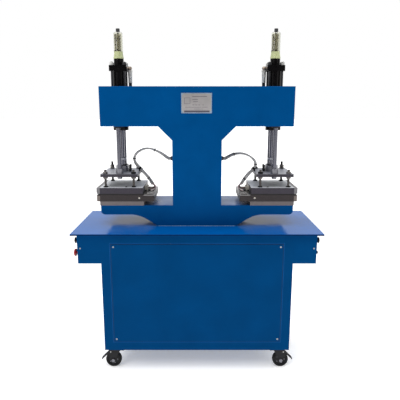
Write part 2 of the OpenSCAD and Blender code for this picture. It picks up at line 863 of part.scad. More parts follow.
module upper_platen() {
  inner = upper_outer - upper_w;
  color([0.3, 0.28, 0.33]) difference() {
    slab(upper_outer, upper_w, platen_d, mould_top, upper_t);
    stud_places() pole(0, 0, upper_top - stud_sink, stud_sink + 1, stud_d);
    for (y = [-80, 0, 80]) bar_x(inner - 1, upper_outer - 20, platen_y + y,
      mould_top + upper_t / 2, 10);
  }
  color(steel) for (y = [-80, 0, 80])
    bar_x(inner, upper_outer - 20, platen_y + y, mould_top + upper_t / 2, 10);
  color("ivory") block([inner - 17, platen_y - 24, mould_top + 3], [17, 48, upper_t - 5]);
}

module insulation_board() {
  color("lightgrey") difference() {
    slab(upper_outer, upper_w, platen_d, upper_top, board_t);
    stud_places() pole(0, 0, upper_top - 1, board_t + 2, stud_d);
  }
}

module heater_cable(route) {
  color("silver") sweep_tube(smooth(route, 3), cable_d);
  color("maroon") sweep_tube(smooth(lead_route, 4), lead_d, 8);
}

// ---------- casters, drawn with the swivel axis at the origin, trailing along +X ----------

module at_caster(x, y) {
  translate([x * caster_x, y * caster_y, 0]) on_side(x) children();
}

module caster_plates() {
  color(dark_steel) for (x = [-1, 1], y = [-1, 1]) at_caster(x, y) {
    block([-caster_plate_w / 2, -caster_plate_w / 2, caster_h - caster_plate_t],
      [caster_plate_w, caster_plate_w, caster_plate_t]);
    pole(0, 0, crown_z + crown_t, race_h, 46);
    pole(0, 0, crown_z - 6, crown_t + 6, kingpin_d);
    pole(0, 0, crown_z - 6, 5.5, kingpin_d + 8);
  }
}

module caster_fork(x, y) {
  leg = 26;
  color(dark_steel) at_caster(x, y) {
    difference() {
      union() {
        pole(0, 0, crown_z, crown_t - 0.5, 2 * fork_y + 2 * fork_t);
        for (side = [-1, 1]) translate([0, side * (fork_y + fork_t / 2) + fork_t / 2, 0])
          rotate([90, 0, 0]) linear_extrude(fork_t) polygon([
            [-12, crown_z + crown_t - 0.5], [trail + 22, crown_z + crown_t - 0.5],
            [trail + leg / 2 + 16, crown_z - 14], [trail + leg / 2, axle_z + 8],
            [trail + leg / 3, axle_z - 10], [trail - leg / 3, axle_z - 10],
            [trail - leg / 2, axle_z + 4]]);
      }
      pole(0, 0, crown_z - 1, crown_t + 2, kingpin_d + 2 * run_gap);
      bar_y(-fork_y - fork_t - 1, fork_y + fork_t + 1, trail, axle_z, axle_d);
      if (y < 0) bar_y(-fork_y - fork_t - 1, fork_y + fork_t + 1, pedal_x - 12, pedal_z,
        pedal_pin_d + 2 * run_gap);
    }
    bar_y(-fork_y - fork_t - 3, fork_y + fork_t + 3, trail, axle_z, axle_d);
    for (side = [-1, 1]) translate([trail, side * (fork_y + fork_t + 3), axle_z])
      rotate([90, 0, 0]) cylinder(d = 16 / cos(30), h = 6, center = true, $fn = 6);
  }
}

module caster_wheel(x, y) {
  color(black) at_caster(x, y) difference() {
    union() {
      bar_y(-wheel_w / 2, wheel_w / 2, trail, axle_z, wheel_d);
      bar_y(-wheel_w / 2 - 1, wheel_w / 2 + 1, trail, axle_z, 22);
    }
    bar_y(-wheel_w, wheel_w, trail, axle_z, hub_bore_d);
  }
}

module brake_pedal(x) {
  color(dark_steel) at_caster(x, -1) {
    bar_y(-fork_y - fork_t - 2, fork_y + fork_t + 2, pedal_x - 12, pedal_z, pedal_pin_d);
    translate([pedal_x - 12, 0, pedal_z]) rotate([0, pedal_angle, 0])
      block([2, -pedal_w / 2, 0], [pedal_len, pedal_w, 4]);
  }
}

// ---------- nodes ----------

table_top();
cabinet_shell();
cabinet_front_panel();
cabinet_rear_panel();
panel_screws();
on_side(-1) control_box();  // control_box_left
control_box();  // control_box_right
button_housings();
panel_instruments();
frame_front_plate();
frame_rear_plate();
frame_webs();
nameplate();
oil_tank();
pump_motor();
gear_pump();
valve_block();
contactor_panel();
cylinder_barrels();
cylinder_caps();
cylinder_lock_nuts();
cylinder_tie_rods();
port_elbows();
hydraulic_hoses();
oil_cup_fittings();
oil_cup_tubes();
guide_bushings();
base_plates();
lower_platens();
embossing_moulds();
cable_glands();
caster_plates();
on_side(-1) piston_rod();  // piston_rod_left
on_side(-1) guide_rods();  // guide_rods_left
on_side(-1) ram_plate();  // ram_plate_left
on_side(-1) levelling_studs();  // levelling_studs_left
on_side(-1) upper_platen();  // upper_platen_left
on_side(-1) insulation_board();  // insulation_board_left
on_side(-1) heater_cable(cable_route_left);  // heater_cable_left
piston_rod();  // piston_rod_right
guide_rods();  // guide_rods_right
ram_plate();  // ram_plate_right
levelling_studs();  // levelling_studs_right
upper_platen();  // upper_platen_right
insulation_board();  // insulation_board_right
heater_cable(cable_route_right);  // heater_cable_right
caster_fork(-1, -1);  // caster_fork_front_left
caster_fork(1, -1);  // caster_fork_front_right
caster_fork(-1, 1);  // caster_fork_rear_left
caster_fork(1, 1);  // caster_fork_rear_right
caster_wheel(-1, -1);  // caster_wheel_front_left
caster_wheel(1, -1);  // caster_wheel_front_right
caster_wheel(-1, 1);  // caster_wheel_rear_left
caster_wheel(1, 1);  // caster_wheel_rear_right
brake_pedal(-1);  // brake_pedal_left
brake_pedal(1);  // brake_pedal_right
start_button_left();
emergency_stop();
start_button_right();
stop_button();
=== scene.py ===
"""Looks of the twin-station heated press: camera, cords, finishes, bevelled CAD parts and fine detail."""
import json
import math

import bmesh
import bpy
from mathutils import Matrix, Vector

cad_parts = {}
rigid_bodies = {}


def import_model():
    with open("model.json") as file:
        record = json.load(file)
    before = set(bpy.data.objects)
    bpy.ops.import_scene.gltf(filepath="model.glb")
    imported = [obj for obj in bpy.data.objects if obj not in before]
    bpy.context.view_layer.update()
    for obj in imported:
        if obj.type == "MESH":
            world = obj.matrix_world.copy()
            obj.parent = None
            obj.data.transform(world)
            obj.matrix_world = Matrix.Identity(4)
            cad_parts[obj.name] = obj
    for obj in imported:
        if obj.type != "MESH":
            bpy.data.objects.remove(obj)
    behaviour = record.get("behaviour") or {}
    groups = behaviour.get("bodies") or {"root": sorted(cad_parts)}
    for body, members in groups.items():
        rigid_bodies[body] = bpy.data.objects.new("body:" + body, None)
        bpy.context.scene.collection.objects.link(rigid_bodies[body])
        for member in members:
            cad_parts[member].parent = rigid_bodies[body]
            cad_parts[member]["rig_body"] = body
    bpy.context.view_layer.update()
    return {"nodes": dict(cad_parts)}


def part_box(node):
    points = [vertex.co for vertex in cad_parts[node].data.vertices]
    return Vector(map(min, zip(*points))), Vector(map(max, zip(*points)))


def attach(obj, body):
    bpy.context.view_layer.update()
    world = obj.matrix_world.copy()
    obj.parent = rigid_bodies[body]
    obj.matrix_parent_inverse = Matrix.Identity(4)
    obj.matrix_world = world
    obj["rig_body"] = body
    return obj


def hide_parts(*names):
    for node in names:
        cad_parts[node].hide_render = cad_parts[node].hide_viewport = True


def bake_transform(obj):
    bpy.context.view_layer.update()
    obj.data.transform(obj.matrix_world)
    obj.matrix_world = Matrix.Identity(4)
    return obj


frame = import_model()

MM = 0.001
X, Y, Z = Vector((1, 0, 0)), Vector((0, 1, 0)), Vector((0, 0, 1))
SIDES = {-1: "left", 1: "right"}

# Places in the part's frame and sizes, in millimetres.
STATION_X = 384.5
FRAME_Y, FRAME_FRONT, FRAME_BACK, PLATE = 28.5, -93, 150, 12  # middle, faces, thickness of the plates
TABLE_Z = 720
GLAND_X, GLAND_Z = 120, 1047
PORT_X = 330.52
RAM_TOP = 981.5
WASHER = 1.5
PLATEN_TOP = 914.2
CLIP_Z = 995.0
TIE_HALF = 30.98  # from a cylinder's axis to its tie rods
TIE_NUT, STUD_NUT = 17, 21  # across flats
CUP_FOOT = 1570  # where the clear cup starts
CASTER_X, CASTER_Y, WHEEL_Z = 426.5, 179.5, 40
BUTTON_Y, BUTTON_HIGH, BUTTON_LOW = -182.5, 674, 612
BOX_END = 579  # outer faces of the instruments
STRAND_TWIST = 9.0  # radians in a metre
SHARP = math.radians(32)  # edges sharper than this are rounded


# --- scene ---


def put(name, data):
    """A new object in the scene."""
    item = bpy.data.objects.new(name, data)
    bpy.context.scene.collection.objects.link(item)
    return item


def make_camera():
    """In front of the press at the photograph's height, tilted down."""
    data = bpy.data.cameras.new("camera")
    data.sensor_width = 36
    data.lens = 40.37
    data.shift_x = 0.0075
    camera = put("camera", data)
    camera.location = (0, -2.2703, 1.3144)
    camera.rotation_euler = (math.radians(90 - 11.95), 0, 0)
    bpy.context.scene.camera = camera


# --- points and curves ---


def between(p, q, r, s, t):
    """Catmull-Rom curve from q to r."""
    return 0.5 * (2 * q + (r - p) * t + (2 * p - 5 * q + 4 * r - s) * t * t + (3 * q - p - 3 * r + s) * t**3)


def smooth(points, steps):
    """A smooth curve through points."""
    last = len(points) - 1
    found = []
    for i in range(last):
        p, q, r, s = (points[k] for k in (max(i - 1, 0), i, i + 1, min(i + 2, last)))
        found += [between(p, q, r, s, j / steps) for j in range(steps)]
    return found + [points[last]]


def dense(points, step):
    """The same line with a point at least every step metres."""
    found = []
    for a, b in zip(points, points[1:]):
        count = max(1, int((b - a).length / step))
        found += [a + (b - a) * (i / count) for i in range(count)]
    return found + [points[-1]]


def route(side, pairs):
    """Points in metres from (x, z) pairs, mirrored for the left side."""
    return [Vector((side * x, FRAME_Y, z)) * MM for x, z in pairs]


def heading(points, i):
    """The direction of a line at its point i."""
    return (points[min(i + 1, len(points) - 1)] - points[max(i - 1, 0)]).normalized()


def seats(side, half_x, half_y):
    """Four places round a station's axis, with their signs."""
    return [(i, j, Vector((side * STATION_X + i * half_x, FRAME_Y + j * half_y, 0)))
            for i in (-1, 1) for j in (-1, 1)]


def square_to(axis):
    """Two directions square to axis and to each other."""
    helper = X if abs(axis.x) < 0.9 else Y
    u = axis.cross(helper).normalized()
    return u, axis.cross(u).normalized()


def circle(axis, sides, turn=0.0):
    """Directions all round an axis."""
    u, v = square_to(axis)
    angles = (turn + 2 * math.pi * k / sides for k in range(sides))
    return [u * math.cos(a) + v * math.sin(a) for a in angles]


def mirrored(half):
    """A closed outline from its lower half."""
    return half + [(r, -h) for r, h in reversed(half)]


# --- mesh building ---


class Piece:
    """Collects solids in one mesh. Sizes are in millimetres."""

    def __init__(self):
        self.bm = bmesh.new()
        self.uv = self.bm.loops.layers.uv.new("UVMap")
        self.index = 0

    def use(self, index):
        """Sets the material of the next faces."""
        self.index = index
        return self

    def vert(self, place):
        return self.bm.verts.new(place * MM)

    def skin(self, rings, caps=True):
        """Faces between rings of vertices, with caps."""
        faces = []
        for a, b in zip(rings, rings[1:]):
            for k in range(len(a)):
                n = (k + 1) % len(a)
                faces.append(self.bm.faces.new((a[k], a[n], b[n], b[k])))
        if caps:
            faces += [self.bm.faces.new(rings[0][::-1]), self.bm.faces.new(rings[-1])]
        for face in faces:
            face.material_index = self.index
        return faces

    def lathe(self, at, axis, profile, sides=40):
        """Turns (radius, height) pairs round an axis through at."""
        at, outward = Vector(at), circle(axis, sides)
        self.skin([[self.vert(at + axis * h + out * max(r, 0.01)) for out in outward] for r, h in profile])
        return self

    def loop(self, at, axis, profile, sides=40):
        """Turns a closed outline into a ring."""
        at = Vector(at)
        turns = [[self.vert(at + axis * h + out * r) for r, h in profile] for out in circle(axis, sides)]
        self.skin(turns + [turns[0]], caps=False)
        return self

    def ring(self, at, axis, radius, width, thick, sides):
        """A band round an axis, with softened edges."""
        e, rim = min(width, thick) * 0.2, radius + thick
        profile = [(radius, 0), (rim - e, 0), (rim, e), (rim, width - e), (rim - e, width), (radius, width)]
        return self.loop(at, axis, profile, sides)

    def bolt(self, at, axis, radius, height, sides=24):
        """A cap screw's head with a socket in its top."""
        e = radius * 0.12
        return self.lathe(at, axis, [(radius, 0), (radius, height - e), (radius - e, height),
                                     (radius * 0.55, height), (radius * 0.5, height - radius * 0.6)], sides)

    def hexagon(self, at, axis, flats, height, turn=0.0):
        """A nut with turned corners."""
        corner, rim = flats / math.sqrt(3), flats / 2 * 0.96
        drop = min(height * 0.14, flats * 0.07)
        at, outward = Vector(at), circle(axis, 24, math.radians(turn))
        reach = [flats / 2 / math.cos(2 * math.pi * k / 24 % (math.pi / 3) - math.pi / 6) for k in range(24)]
        self.skin([[self.vert(at + axis * h + out * min(r, limit)) for out, r in zip(outward, reach)]
                   for h, limit in ((0, rim), (drop, corner), (height - drop, corner), (height, rim))])
        return self

    def thread(self, at, axis, radius, height, pitch=1.75):
        """A threaded rod with a pointed end."""
        root = radius - pitch * 0.5
        profile = [(root, 0)]
        for z in (k * pitch for k in range(int(height / pitch))):
            profile += [(radius, z + pitch * 0.35), (radius, z + pitch * 0.6), (root, z + pitch)]
        return self.lathe(at, axis, profile + [(radius - pitch * 0.7, height)], 20)

    def tube(self, points, radius, sides=12, shape=None):
        """A tube along points in metres; shape gives its radius by distance."""
        rings, gone, side = [], 0.0, None
        for i, p in enumerate(points):
            way = heading(points, i)
            side = square_to(way)[0] if side is None else (side - way * side.dot(way)).normalized()
            up = way.cross(side)
            if i:
                gone += (p - points[i - 1]).length
            r = radius * (shape(gone) if shape else 1.0) * MM
            angles = (2 * math.pi * k / sides for k in range(sides))
            rings.append(([self.bm.verts.new(p + (side * math.cos(a) + up * math.sin(a)) * r)
                           for a in angles], gone))
        faces = self.skin([ring for ring, _ in rings])
        self.lay_uv(faces, [distance for _, distance in rings], 2 * math.pi * radius * MM / sides, sides)
        return self

    def lay_uv(self, faces, distances, around, sides):
        """Coordinates along and round a tube, for the braid."""
        for i, (a, b) in enumerate(zip(distances, distances[1:])):
            for k in range(sides):
                corners = ((a, k), (a, k + 1), (b, k + 1), (b, k))
                for loop, (u, v) in zip(faces[i * sides + k].loops, corners):
                    loop[self.uv].uv = (u, v * around)

    def box(self, low, high, edge=0.6):
        """A block with softened edges."""
        low, high = Vector(low) * MM, Vector(high) * MM
        verts = bmesh.ops.create_cube(self.bm, size=1)["verts"]
        for vert in verts:
            vert.co = Vector(c * s for c, s in zip(vert.co, high - low)) + (low + high) / 2
        for face in {f for vert in verts for f in vert.link_faces}:
            face.material_index = self.index
        if edge:
            round_off(self.bm, list({e for vert in verts for e in vert.link_edges}), edge, 2, self.index)
        return self

    def done(self, name, finishes, body, slot, replaces=(), angle=45):
        """Makes the object on its body."""
        bmesh.ops.recalc_face_normals(self.bm, faces=self.bm.faces)
        return settle(name, self.bm, finishes, body, replaces, angle)


def round_off(bm, edges, width, segments, material):
    bmesh.ops.bevel(bm, geom=edges, offset=width * MM, segments=segments, profile=0.7, affect="EDGES",
                    clamp_overlap=True, material=material)


def settle(name, bm, finishes, body, replaces=(), angle=45):
    """Turns a mesh into a piece. finishes are keys of FINISHES with spaces between."""
    mesh = bpy.data.meshes.new(name)
    bm.to_mesh(mesh)
    bm.free()
    for polygon in mesh.polygons:
        polygon.use_smooth = True
    mesh.set_sharp_from_angle(angle=math.radians(angle))
    for finish in finishes.split():
        mesh.materials.append(FINISHES[finish])
    piece = put(name, mesh)
    weighted = piece.modifiers.new("weighted normals", "WEIGHTED_NORMAL")
    weighted.keep_sharp = True
    if body:
        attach(piece, body)
    if replaces:
        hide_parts(*replaces)
    return piece


def clean_copy(node):
    """A CAD part's mesh without edges inside flat faces."""
    bm = bmesh.new()
    bm.from_mesh(frame["nodes"][node].data)
    bmesh.ops.remove_doubles(bm, verts=bm.verts, dist=1e-5)
    bmesh.ops.dissolve_limit(bm, angle_limit=math.radians(0.4), verts=bm.verts, edges=bm.edges)
    return bm


def refine(node, finishes, edge=0.8, choose=None, edge_index=-1, segments=2):
    """A copy of a CAD part with rounded edges.

    choose gives a face's material from its centre and normal. The edge number is the material of the rounded
    edges; on enamel that is chipped paint lightened as a painted highlight.
    """
    bm = clean_copy(node)
    for face in bm.faces:
        face.material_index = int(choose(face.calc_center_median() / MM, face.normal)) if choose else 0
    sharp = [e for e in bm.edges if e.is_manifold and e.calc_face_angle(0) > SHARP]
    round_off(bm, sharp, edge, segments, edge_index)
    return settle(f"{node}_finished", bm, finishes, frame["nodes"][node]["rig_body"], [node])


def limits(node):
    """The corners of a CAD part's box in millimetres."""
    return [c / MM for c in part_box(node)]


# --- finishes ---


def tone(rgb, factor=1.0, lift=0.0):
    """A screen colour, 0 to 255, as the shader needs it."""
    linear = (c / 255 / 12.92 if c / 255 <= 0.04045 else ((c / 255 + 0.055) / 1.055) ** 2.4 for c in rgb)
    return tuple(min(1, c * factor + lift) for c in linear) + (1.0,)


def add_node(tree, kind, inputs, **settings):
    """A shader node. inputs are values or sockets by name or number."""
    node = tree.nodes.new("ShaderNode" + kind)
    for key, value in settings.items():
        setattr(node, key, value)
    for key, value in inputs.items():
        join(tree, value, node.inputs[key])
    return node


def join(tree, value, socket):
    if isinstance(value, bpy.types.NodeSocket):
        tree.links.new(value, socket)
    else:
        socket.default_value = value


def span_of(value, low, high, start, end):
    """Inputs that map value from start..end to low..high."""
    return {"Value": value, "From Min": start, "From Max": end, "To Min": low, "To Max": high}


class Finish:
    """A material, with short calls for its nodes."""

    def __init__(self, name, **settings):
        self.material = bpy.data.materials.new(name)
        self.material.use_nodes = True
        self.tree = self.material.node_tree
        self.shader = self.tree.nodes["Principled BSDF"]
        self.place = self.tree.nodes.new("ShaderNodeTexCoord")
        for key, value in settings.items():
            self.shader.inputs[key.replace("_", " ")].default_value = value

    def add(self, kind, inputs, output=0, **settings):
        return add_node(self.tree, kind, inputs, **settings).outputs[output]

    def coords(self, stretch, source="Object"):
        return self.add("Mapping", {"Scale": stretch, "Vector": self.place.outputs[source]})

    def noise(self, scale, detail=3.0, stretch=(1, 1, 1), rough=0.55):
        """Noise with scale features in a metre."""
        return self.add("TexNoise", {"Scale": scale, "Detail": detail, "Roughness": rough,
                                     "Vector": self.coords(stretch)})

    def waves(self, scale, stretch, source, direction, distortion=0.0):
        return self.add("TexWave", {"Scale": scale, "Distortion": distortion,
                                    "Vector": self.coords(stretch, source)}, "Fac", bands_direction=direction)

    def span(self, value, low, high, start=0.3, end=0.7):
        return self.add("MapRange", span_of(value, low, high, start, end))

    def math(self, operation, a, b):
        return self.add("Math", {0: a, 1: b}, operation=operation)

    def mix(self, amount, a, b):
        return self.add("Mix", {0: amount, 6: a, 7: b}, 2, data_type="RGBA")

    def bump(self, height, depth):
        """Raises the surface by depth millimetres."""
        normal = self.add("Bump", {"Distance": depth * MM, "Strength": 1.0, "Height": height})
        join(self.tree, normal, self.shader.inputs["Normal"])
        return self.material

    def wear(self, colour, rough=None):
        join(self.tree, colour, self.shader.inputs["Base Color"])
        if rough is not None:
            join(self.tree, rough, self.shader.inputs["Roughness"])


def paint(name, rgb, rough=0.32, gloss=0.05, peel=0.12, dust=0.02, tint=(0.2, 0.6, 1, 1)):
    """Sprayed enamel with orange peel and dust."""
    f = Finish(name, Specular_IOR_Level=gloss, Specular_Tint=tint)
    body = f.mix(f.span(f.noise(6, 4), 0, 1), tone(rgb, 0.9), tone(rgb, 1.08))
    specks = f.span(f.noise(900, 2), 0, dust, 0.66, 0.74)
    f.wear(f.mix(specks, body, tone(DUST)), f.span(f.noise(14, 5), rough - 0.05, rough + 0.08))
    return f.bump(f.noise(330, 1.5), peel)


def worn_highlit_paint(name, rgb):
    """Enamel on an edge: thin, glossier, chipped to the primer, and lightened as a painted highlight."""
    f = Finish(name, Specular_IOR_Level=0.12, Specular_Tint=(0.3, 0.7, 1, 1))
    chips = f.span(f.noise(120, 5, rough=0.7), 0, 1, 0.66, 0.7)
    # The paint lifted to 1.3 times is a painted highlight along the edge; the primer chips are wear.
    f.wear(f.mix(chips, tone(rgb, 1.3, 0.004), tone(PRIMER)), f.span(chips, 0.26, 0.55, 0, 1))
    return f.bump(f.noise(330, 1.5), 0.08)


def steel(name, rgb, rough=0.3, grain=(1, 1, 1), scale=700, depth=0.012, metallic=1.0, stain=0.12):
    """Bare metal with tool marks and stains."""
    f = Finish(name, Metallic=metallic)
    marks = f.noise(scale, 3, grain)
    f.wear(f.mix(f.span(f.noise(22, 4), 0, 1), tone(rgb, 1 - stain), tone(rgb, 1 + stain)),
           f.span(marks, rough - 0.07, rough + 0.1))
    return f.bump(marks, depth)


def rough_coat(name, rgb, light, scale=1300, rough=0.62, depth=0.06, metallic=0.0, amount=0.5):
    """Speckled surface such as cast metal or board."""
    f = Finish(name, Metallic=metallic)
    grains, clouds = f.noise(scale, 3), f.noise(30, 4)
    specks = f.math("ADD", f.span(grains, 0, amount, 0.48, 0.66), f.span(clouds, -0.1, 0.15))
    f.wear(f.mix(specks, tone(rgb), tone(light)), f.span(clouds, rough - 0.06, rough + 0.08))
    return f.bump(grains, depth)


def plastic(name, rgb, rough=0.35, depth=0.01):
    """Moulded plastic with a fine grain and fingermarks."""
    f = Finish(name)
    marks = f.noise(60, 3)
    f.wear(f.mix(f.span(marks, 0, 0.5), tone(rgb), tone(rgb, 1.25, 0.004)),
           f.span(marks, rough - 0.06, rough + 0.1))
    return f.bump(f.noise(2600, 2), depth)


def braid(name, light, dark):
    """A woven sleeve: two sets of strands that cross."""
    f = Finish(name, Roughness=0.62)
    woven = f.math("MAXIMUM", *(f.waves(190, (1, way, 1), "UV", "DIAGONAL") for way in (1, -1)))
    dirt = f.span(f.noise(90, 4), 0.0, 0.35)
    # Where neither set of strands rises the colour goes to the darker tone, painted shade between the
    # strands; the noise adds random dirt.
    f.wear(f.mix(f.math("ADD", f.span(woven, 0.55, 0, 0.2, 0.9), dirt), tone(light), tone(dark)))
    return f.bump(woven, 0.18)


def rubber(name, rgb, depth=0.04, rough=0.48):
    """Rubber with a faint cloth texture and grey bloom."""
    f = Finish(name, Specular_IOR_Level=0.25)
    wrap = f.waves(160, (1, 1, 1), "Object", "Z", 1.5)
    bloom = f.noise(45, 4)
    f.wear(f.mix(f.span(bloom, 0, 0.6), tone(rgb), tone(rgb, 2.2, 0.008)),
           f.span(bloom, rough - 0.08, rough + 0.14))
    return f.bump(f.math("ADD", f.math("MULTIPLY", wrap, 0.3), f.noise(1500, 2)), depth)


def clear(name, tint):
    """Clear acrylic with a slight wave and scratches."""
    f = Finish(name, Transmission_Weight=1.0, IOR=1.49)
    f.wear(tint, f.span(f.noise(120, 4), 0.03, 0.08, 0.5, 0.8))
    return f.bump(f.noise(25, 1, (1, 1, 0.3)), 0.004)


def smoked(name, rgb):
    """A dark display window."""
    f = Finish(name, Roughness=0.12, Emission_Strength=0.0)
    f.wear(f.mix(f.span(f.noise(200, 2), 0, 0.2), tone((18, 18, 20)), tone(rgb)))
    return f.material


BLUE = (0, 68, 124)
CABINET_BLUE = (0, 60, 110)
TABLE_BLUE = (0, 88, 164)
PRIMER = (120, 124, 126)
DUST = (150, 160, 172)
ACROSS, ALONG, UPRIGHT = (1, 0.04, 1), (0.04, 1, 1), (1, 1, 0.02)  # directions of a grain
FINISHES = {
    "frame": paint("frame_enamel", BLUE, 0.3),
    # Upward faces of the webs: a lighter, glossier copy of the frame blue, a painted sheen of the light from
    # above.
    "frame_top": paint("frame_enamel_top_painted_sheen", (20, 84, 150), 0.3, 0.5, 0.06, tint=(0.8, 0.9, 1, 1)),
    # The frame's and the cabinet's edge finishes are lighter copies of their paint: a painted highlight on
    # rounded edges, with chips to the primer.
    "frame_edge": worn_highlit_paint("frame_enamel_edge", BLUE),
    "cabinet": paint("cabinet_enamel", CABINET_BLUE, 0.34),
    "cabinet_edge": worn_highlit_paint("cabinet_enamel_edge", CABINET_BLUE),
    # The yellowish specular tint gives the table's reflections a beige colour: a painted reflection colour.
    "table": paint("table_enamel", TABLE_BLUE, 0.12, 0.15, 0.04, tint=(1, 0.95, 0.6, 1)),
    # The table's sides: a much darker copy of the table blue, painted shade on the vertical faces.
    "table_side": paint("table_enamel_side_painted_shade", (0, 28, 66), 0.4),
    # The table's rounded edges take a darker blue than its top, painted shade between the top and the shaded
    # sides; the chips to the primer are wear.
    "table_edge": worn_highlit_paint("table_enamel_edge", (0, 62, 124)),
    # Near-black blue laid round the front panel: painted shadow.
    "gap_shadow": rough_coat("painted_panel_outline", (0, 16, 44), (0, 24, 58), 900, 0.6),
    # A lighter blue, lifted again at the edge: a painted highlight on the panel's edges and the shell's rim,
    # with chips to the primer.
    "panel_edge": worn_highlit_paint("panel_enamel_edge_worn_highlit", (20, 76, 138)),
    "weld": rough_coat("painted_weld", (40, 92, 140), (150, 168, 185), 260, 0.4, 0.3),
    "plate": steel("brushed_plate", (176, 172, 172), 0.36, ACROSS, 900),
    "plate_rim": steel("plate_rim", (150, 176, 200), 0.3, ACROSS, 900),
    "print": rough_coat("printed_marks", (96, 92, 98), (120, 118, 124), 2000, 0.5, 0.005),
    "bar": rough_coat("printed_bar", (70, 64, 78), (90, 84, 96), 2000, 0.45, 0.005),
    "zinc": steel("zinc_plate", (186, 186, 184), 0.34, stain=0.08),
    "black": paint("black_enamel", (9, 8, 9), 0.22, 0.12, 0.03, 0.01, (1, 0.95, 0.95, 1)),
    "black_steel": steel("black_steel", (40, 40, 42), 0.4),
    "chrome": steel("chrome", (94, 94, 102), 0.18, UPRIGHT, 1400, 0.004, stain=0.05),
    "milled": steel("milled_steel", (152, 154, 162), 0.42, ALONG, 1300, 0.015, metallic=0.35, stain=0.06),
    "turned": steel("turned_steel", (120, 120, 126), 0.36, UPRIGHT, 1300, 0.01, metallic=0.8, stain=0.08),
    "stud_steel": steel("stud_steel", (112, 108, 106), 0.4, metallic=0.8, stain=0.2),
    "strip": rough_coat("grey_end_strip", (112, 110, 112), (134, 132, 134), 900, 0.5, 0.03),
    "strip_low": rough_coat("brown_end_strip", (108, 98, 92), (128, 118, 110), 900, 0.5, 0.03),
    "milled_edge": steel("milled_edge", (66, 64, 70), 0.4),
    "oxide": steel("black_oxide", (58, 58, 60), 0.42, stain=0.3),
    "nickel": steel("nickel", (150, 137, 125), 0.3, stain=0.15),
    "rubber": rubber("hose_rubber", (16, 15, 15)),
    "cup": plastic("cup_collar", (172, 178, 132), 0.3),
    "standpipe": plastic("standpipe", (160, 155, 136), 0.35),
    "pipe_band": plastic("standpipe_band", (116, 110, 94), 0.35),
    "plug": rough_coat("plug_plastic", (38, 38, 40), (70, 70, 72), 1500, 0.4),
    "clear": clear("clear_acrylic", (0.8, 0.8, 0.72, 1)),
    "bronze": steel("bronze", (150, 116, 66), 0.36),
    "base": steel("base_aluminium", (108, 102, 102), 0.42, ACROSS, 900, 0.02),
    "lower": rough_coat("lower_platen_scale", (50, 44, 44), (78, 72, 72), 700, 0.5, 0.03, 0.6),
    "ledge": steel("platen_ledge", (140, 138, 138), 0.4, ALONG, 900),
    "upper": rough_coat("upper_platen_scale", (54, 50, 58), (80, 76, 86), 700, 0.46, 0.03, 0.6),
    "board": rough_coat("mica_board", (196, 200, 206), (222, 225, 230), 900, 0.55, 0.05, 0.0, 0.8),
    "seam": rough_coat("black_seam", (18, 16, 16), (40, 38, 38), 900, 0.6),
    "terminal": rough_coat("ceramic", (190, 184, 172), (214, 210, 200), 900, 0.5),
    # The darker tone fills the hollows of the weave as painted shade.
    "sleeve": braid("braided_sleeve", (178, 178, 178), (144, 142, 142)),
    "tie": plastic("cable_tie", (22, 22, 23), 0.4),
    "gland": plastic("gland_plastic", (60, 60, 62), 0.4),
    "wire_black": rubber("wire_black", (20, 19, 20), 0.01),
    "wire_brown": rubber("wire_brown", (92, 58, 46), 0.01),
    "wire_pink": rubber("wire_pink", (196, 160, 160), 0.01),
    "caster": steel("caster_steel", (24, 24, 27), 0.5, metallic=0.5, stain=0.2),
    "tyre": rubber("caster_tyre", (9, 9, 10), 0.05, 0.6),
    "button": plastic("button_black", (20, 20, 22), 0.32),
    "red": plastic("button_red", (150, 14, 20), 0.3),
    "case": plastic("instrument_case", (34, 35, 38), 0.42, 0.02),
    "window": smoked("display_window", (46, 10, 10)),
    "key": plastic("instrument_key", (120, 122, 126), 0.4),
    "tank": paint("tank_enamel", (30, 62, 98), 0.4),
    "motor": paint("motor_enamel", (58, 62, 66), 0.45),
    "pump": rough_coat("cast_aluminium", (140, 142, 144), (176, 178, 180), 900, 0.45, 0.06, 0.9),
    "valve": steel("valve_steel", (120, 122, 126), 0.4),
    "electric": plastic("contactor_plastic", (44, 45, 48), 0.45),
    "rail": steel("rail_steel", (160, 160, 160), 0.4),
}


# --- cords ---

PRESSURE_ROUTE = [
    (PORT_X, 1456), (PORT_X, 1440), (PORT_X, 1424), (PORT_X, 1390), (324, 1352), (300, 1322), (262, 1308),
    (200, 1304), (130, 1298), (80, 1276), (48, 1230), (36, 1160), (34, 1000), (32, 850), (32, 740), (32, 640)]
RETURN_ROUTE = [
    (334.5, 1254), (327.5, 1254), (320.5, 1254), (296, 1258), (256, 1262), (200, 1258), (150, 1244),
    (108, 1212), (84, 1160), (72, 1080), (66, 900), (62, 760), (60, 640)]
CABLE_START, CABLE_END = [(136, GLAND_Z), (141, GLAND_Z), (146, GLAND_Z)], [(240, 931), (228, 912)]
CABLE_ROUTES = {
    -1: [*CABLE_START, (159, 1056), (178, 1070), (200, 1082), (225, 1093), (251, 1098), (275, 1094),
         (296, 1084), (312, 1070), (321, 1052), (320, 1034), (310, 1014), (294, 996), (274, 974),
         (256, 953), *CABLE_END],
    1: [*CABLE_START, (160, 1055), (179, 1065), (202, 1071), (227, 1072), (251, 1067), (273, 1056),
        (291, 1041), (301, 1023), (300, 1008), (292, 994), (279, 980), (265, 965), (252, 949), *CABLE_END]}
TIE_PLACES = {-1: [(215, 1089), (321, 1045), (251, 947)], 1: [(190, 1068), (301, 1016), (246, 940)]}


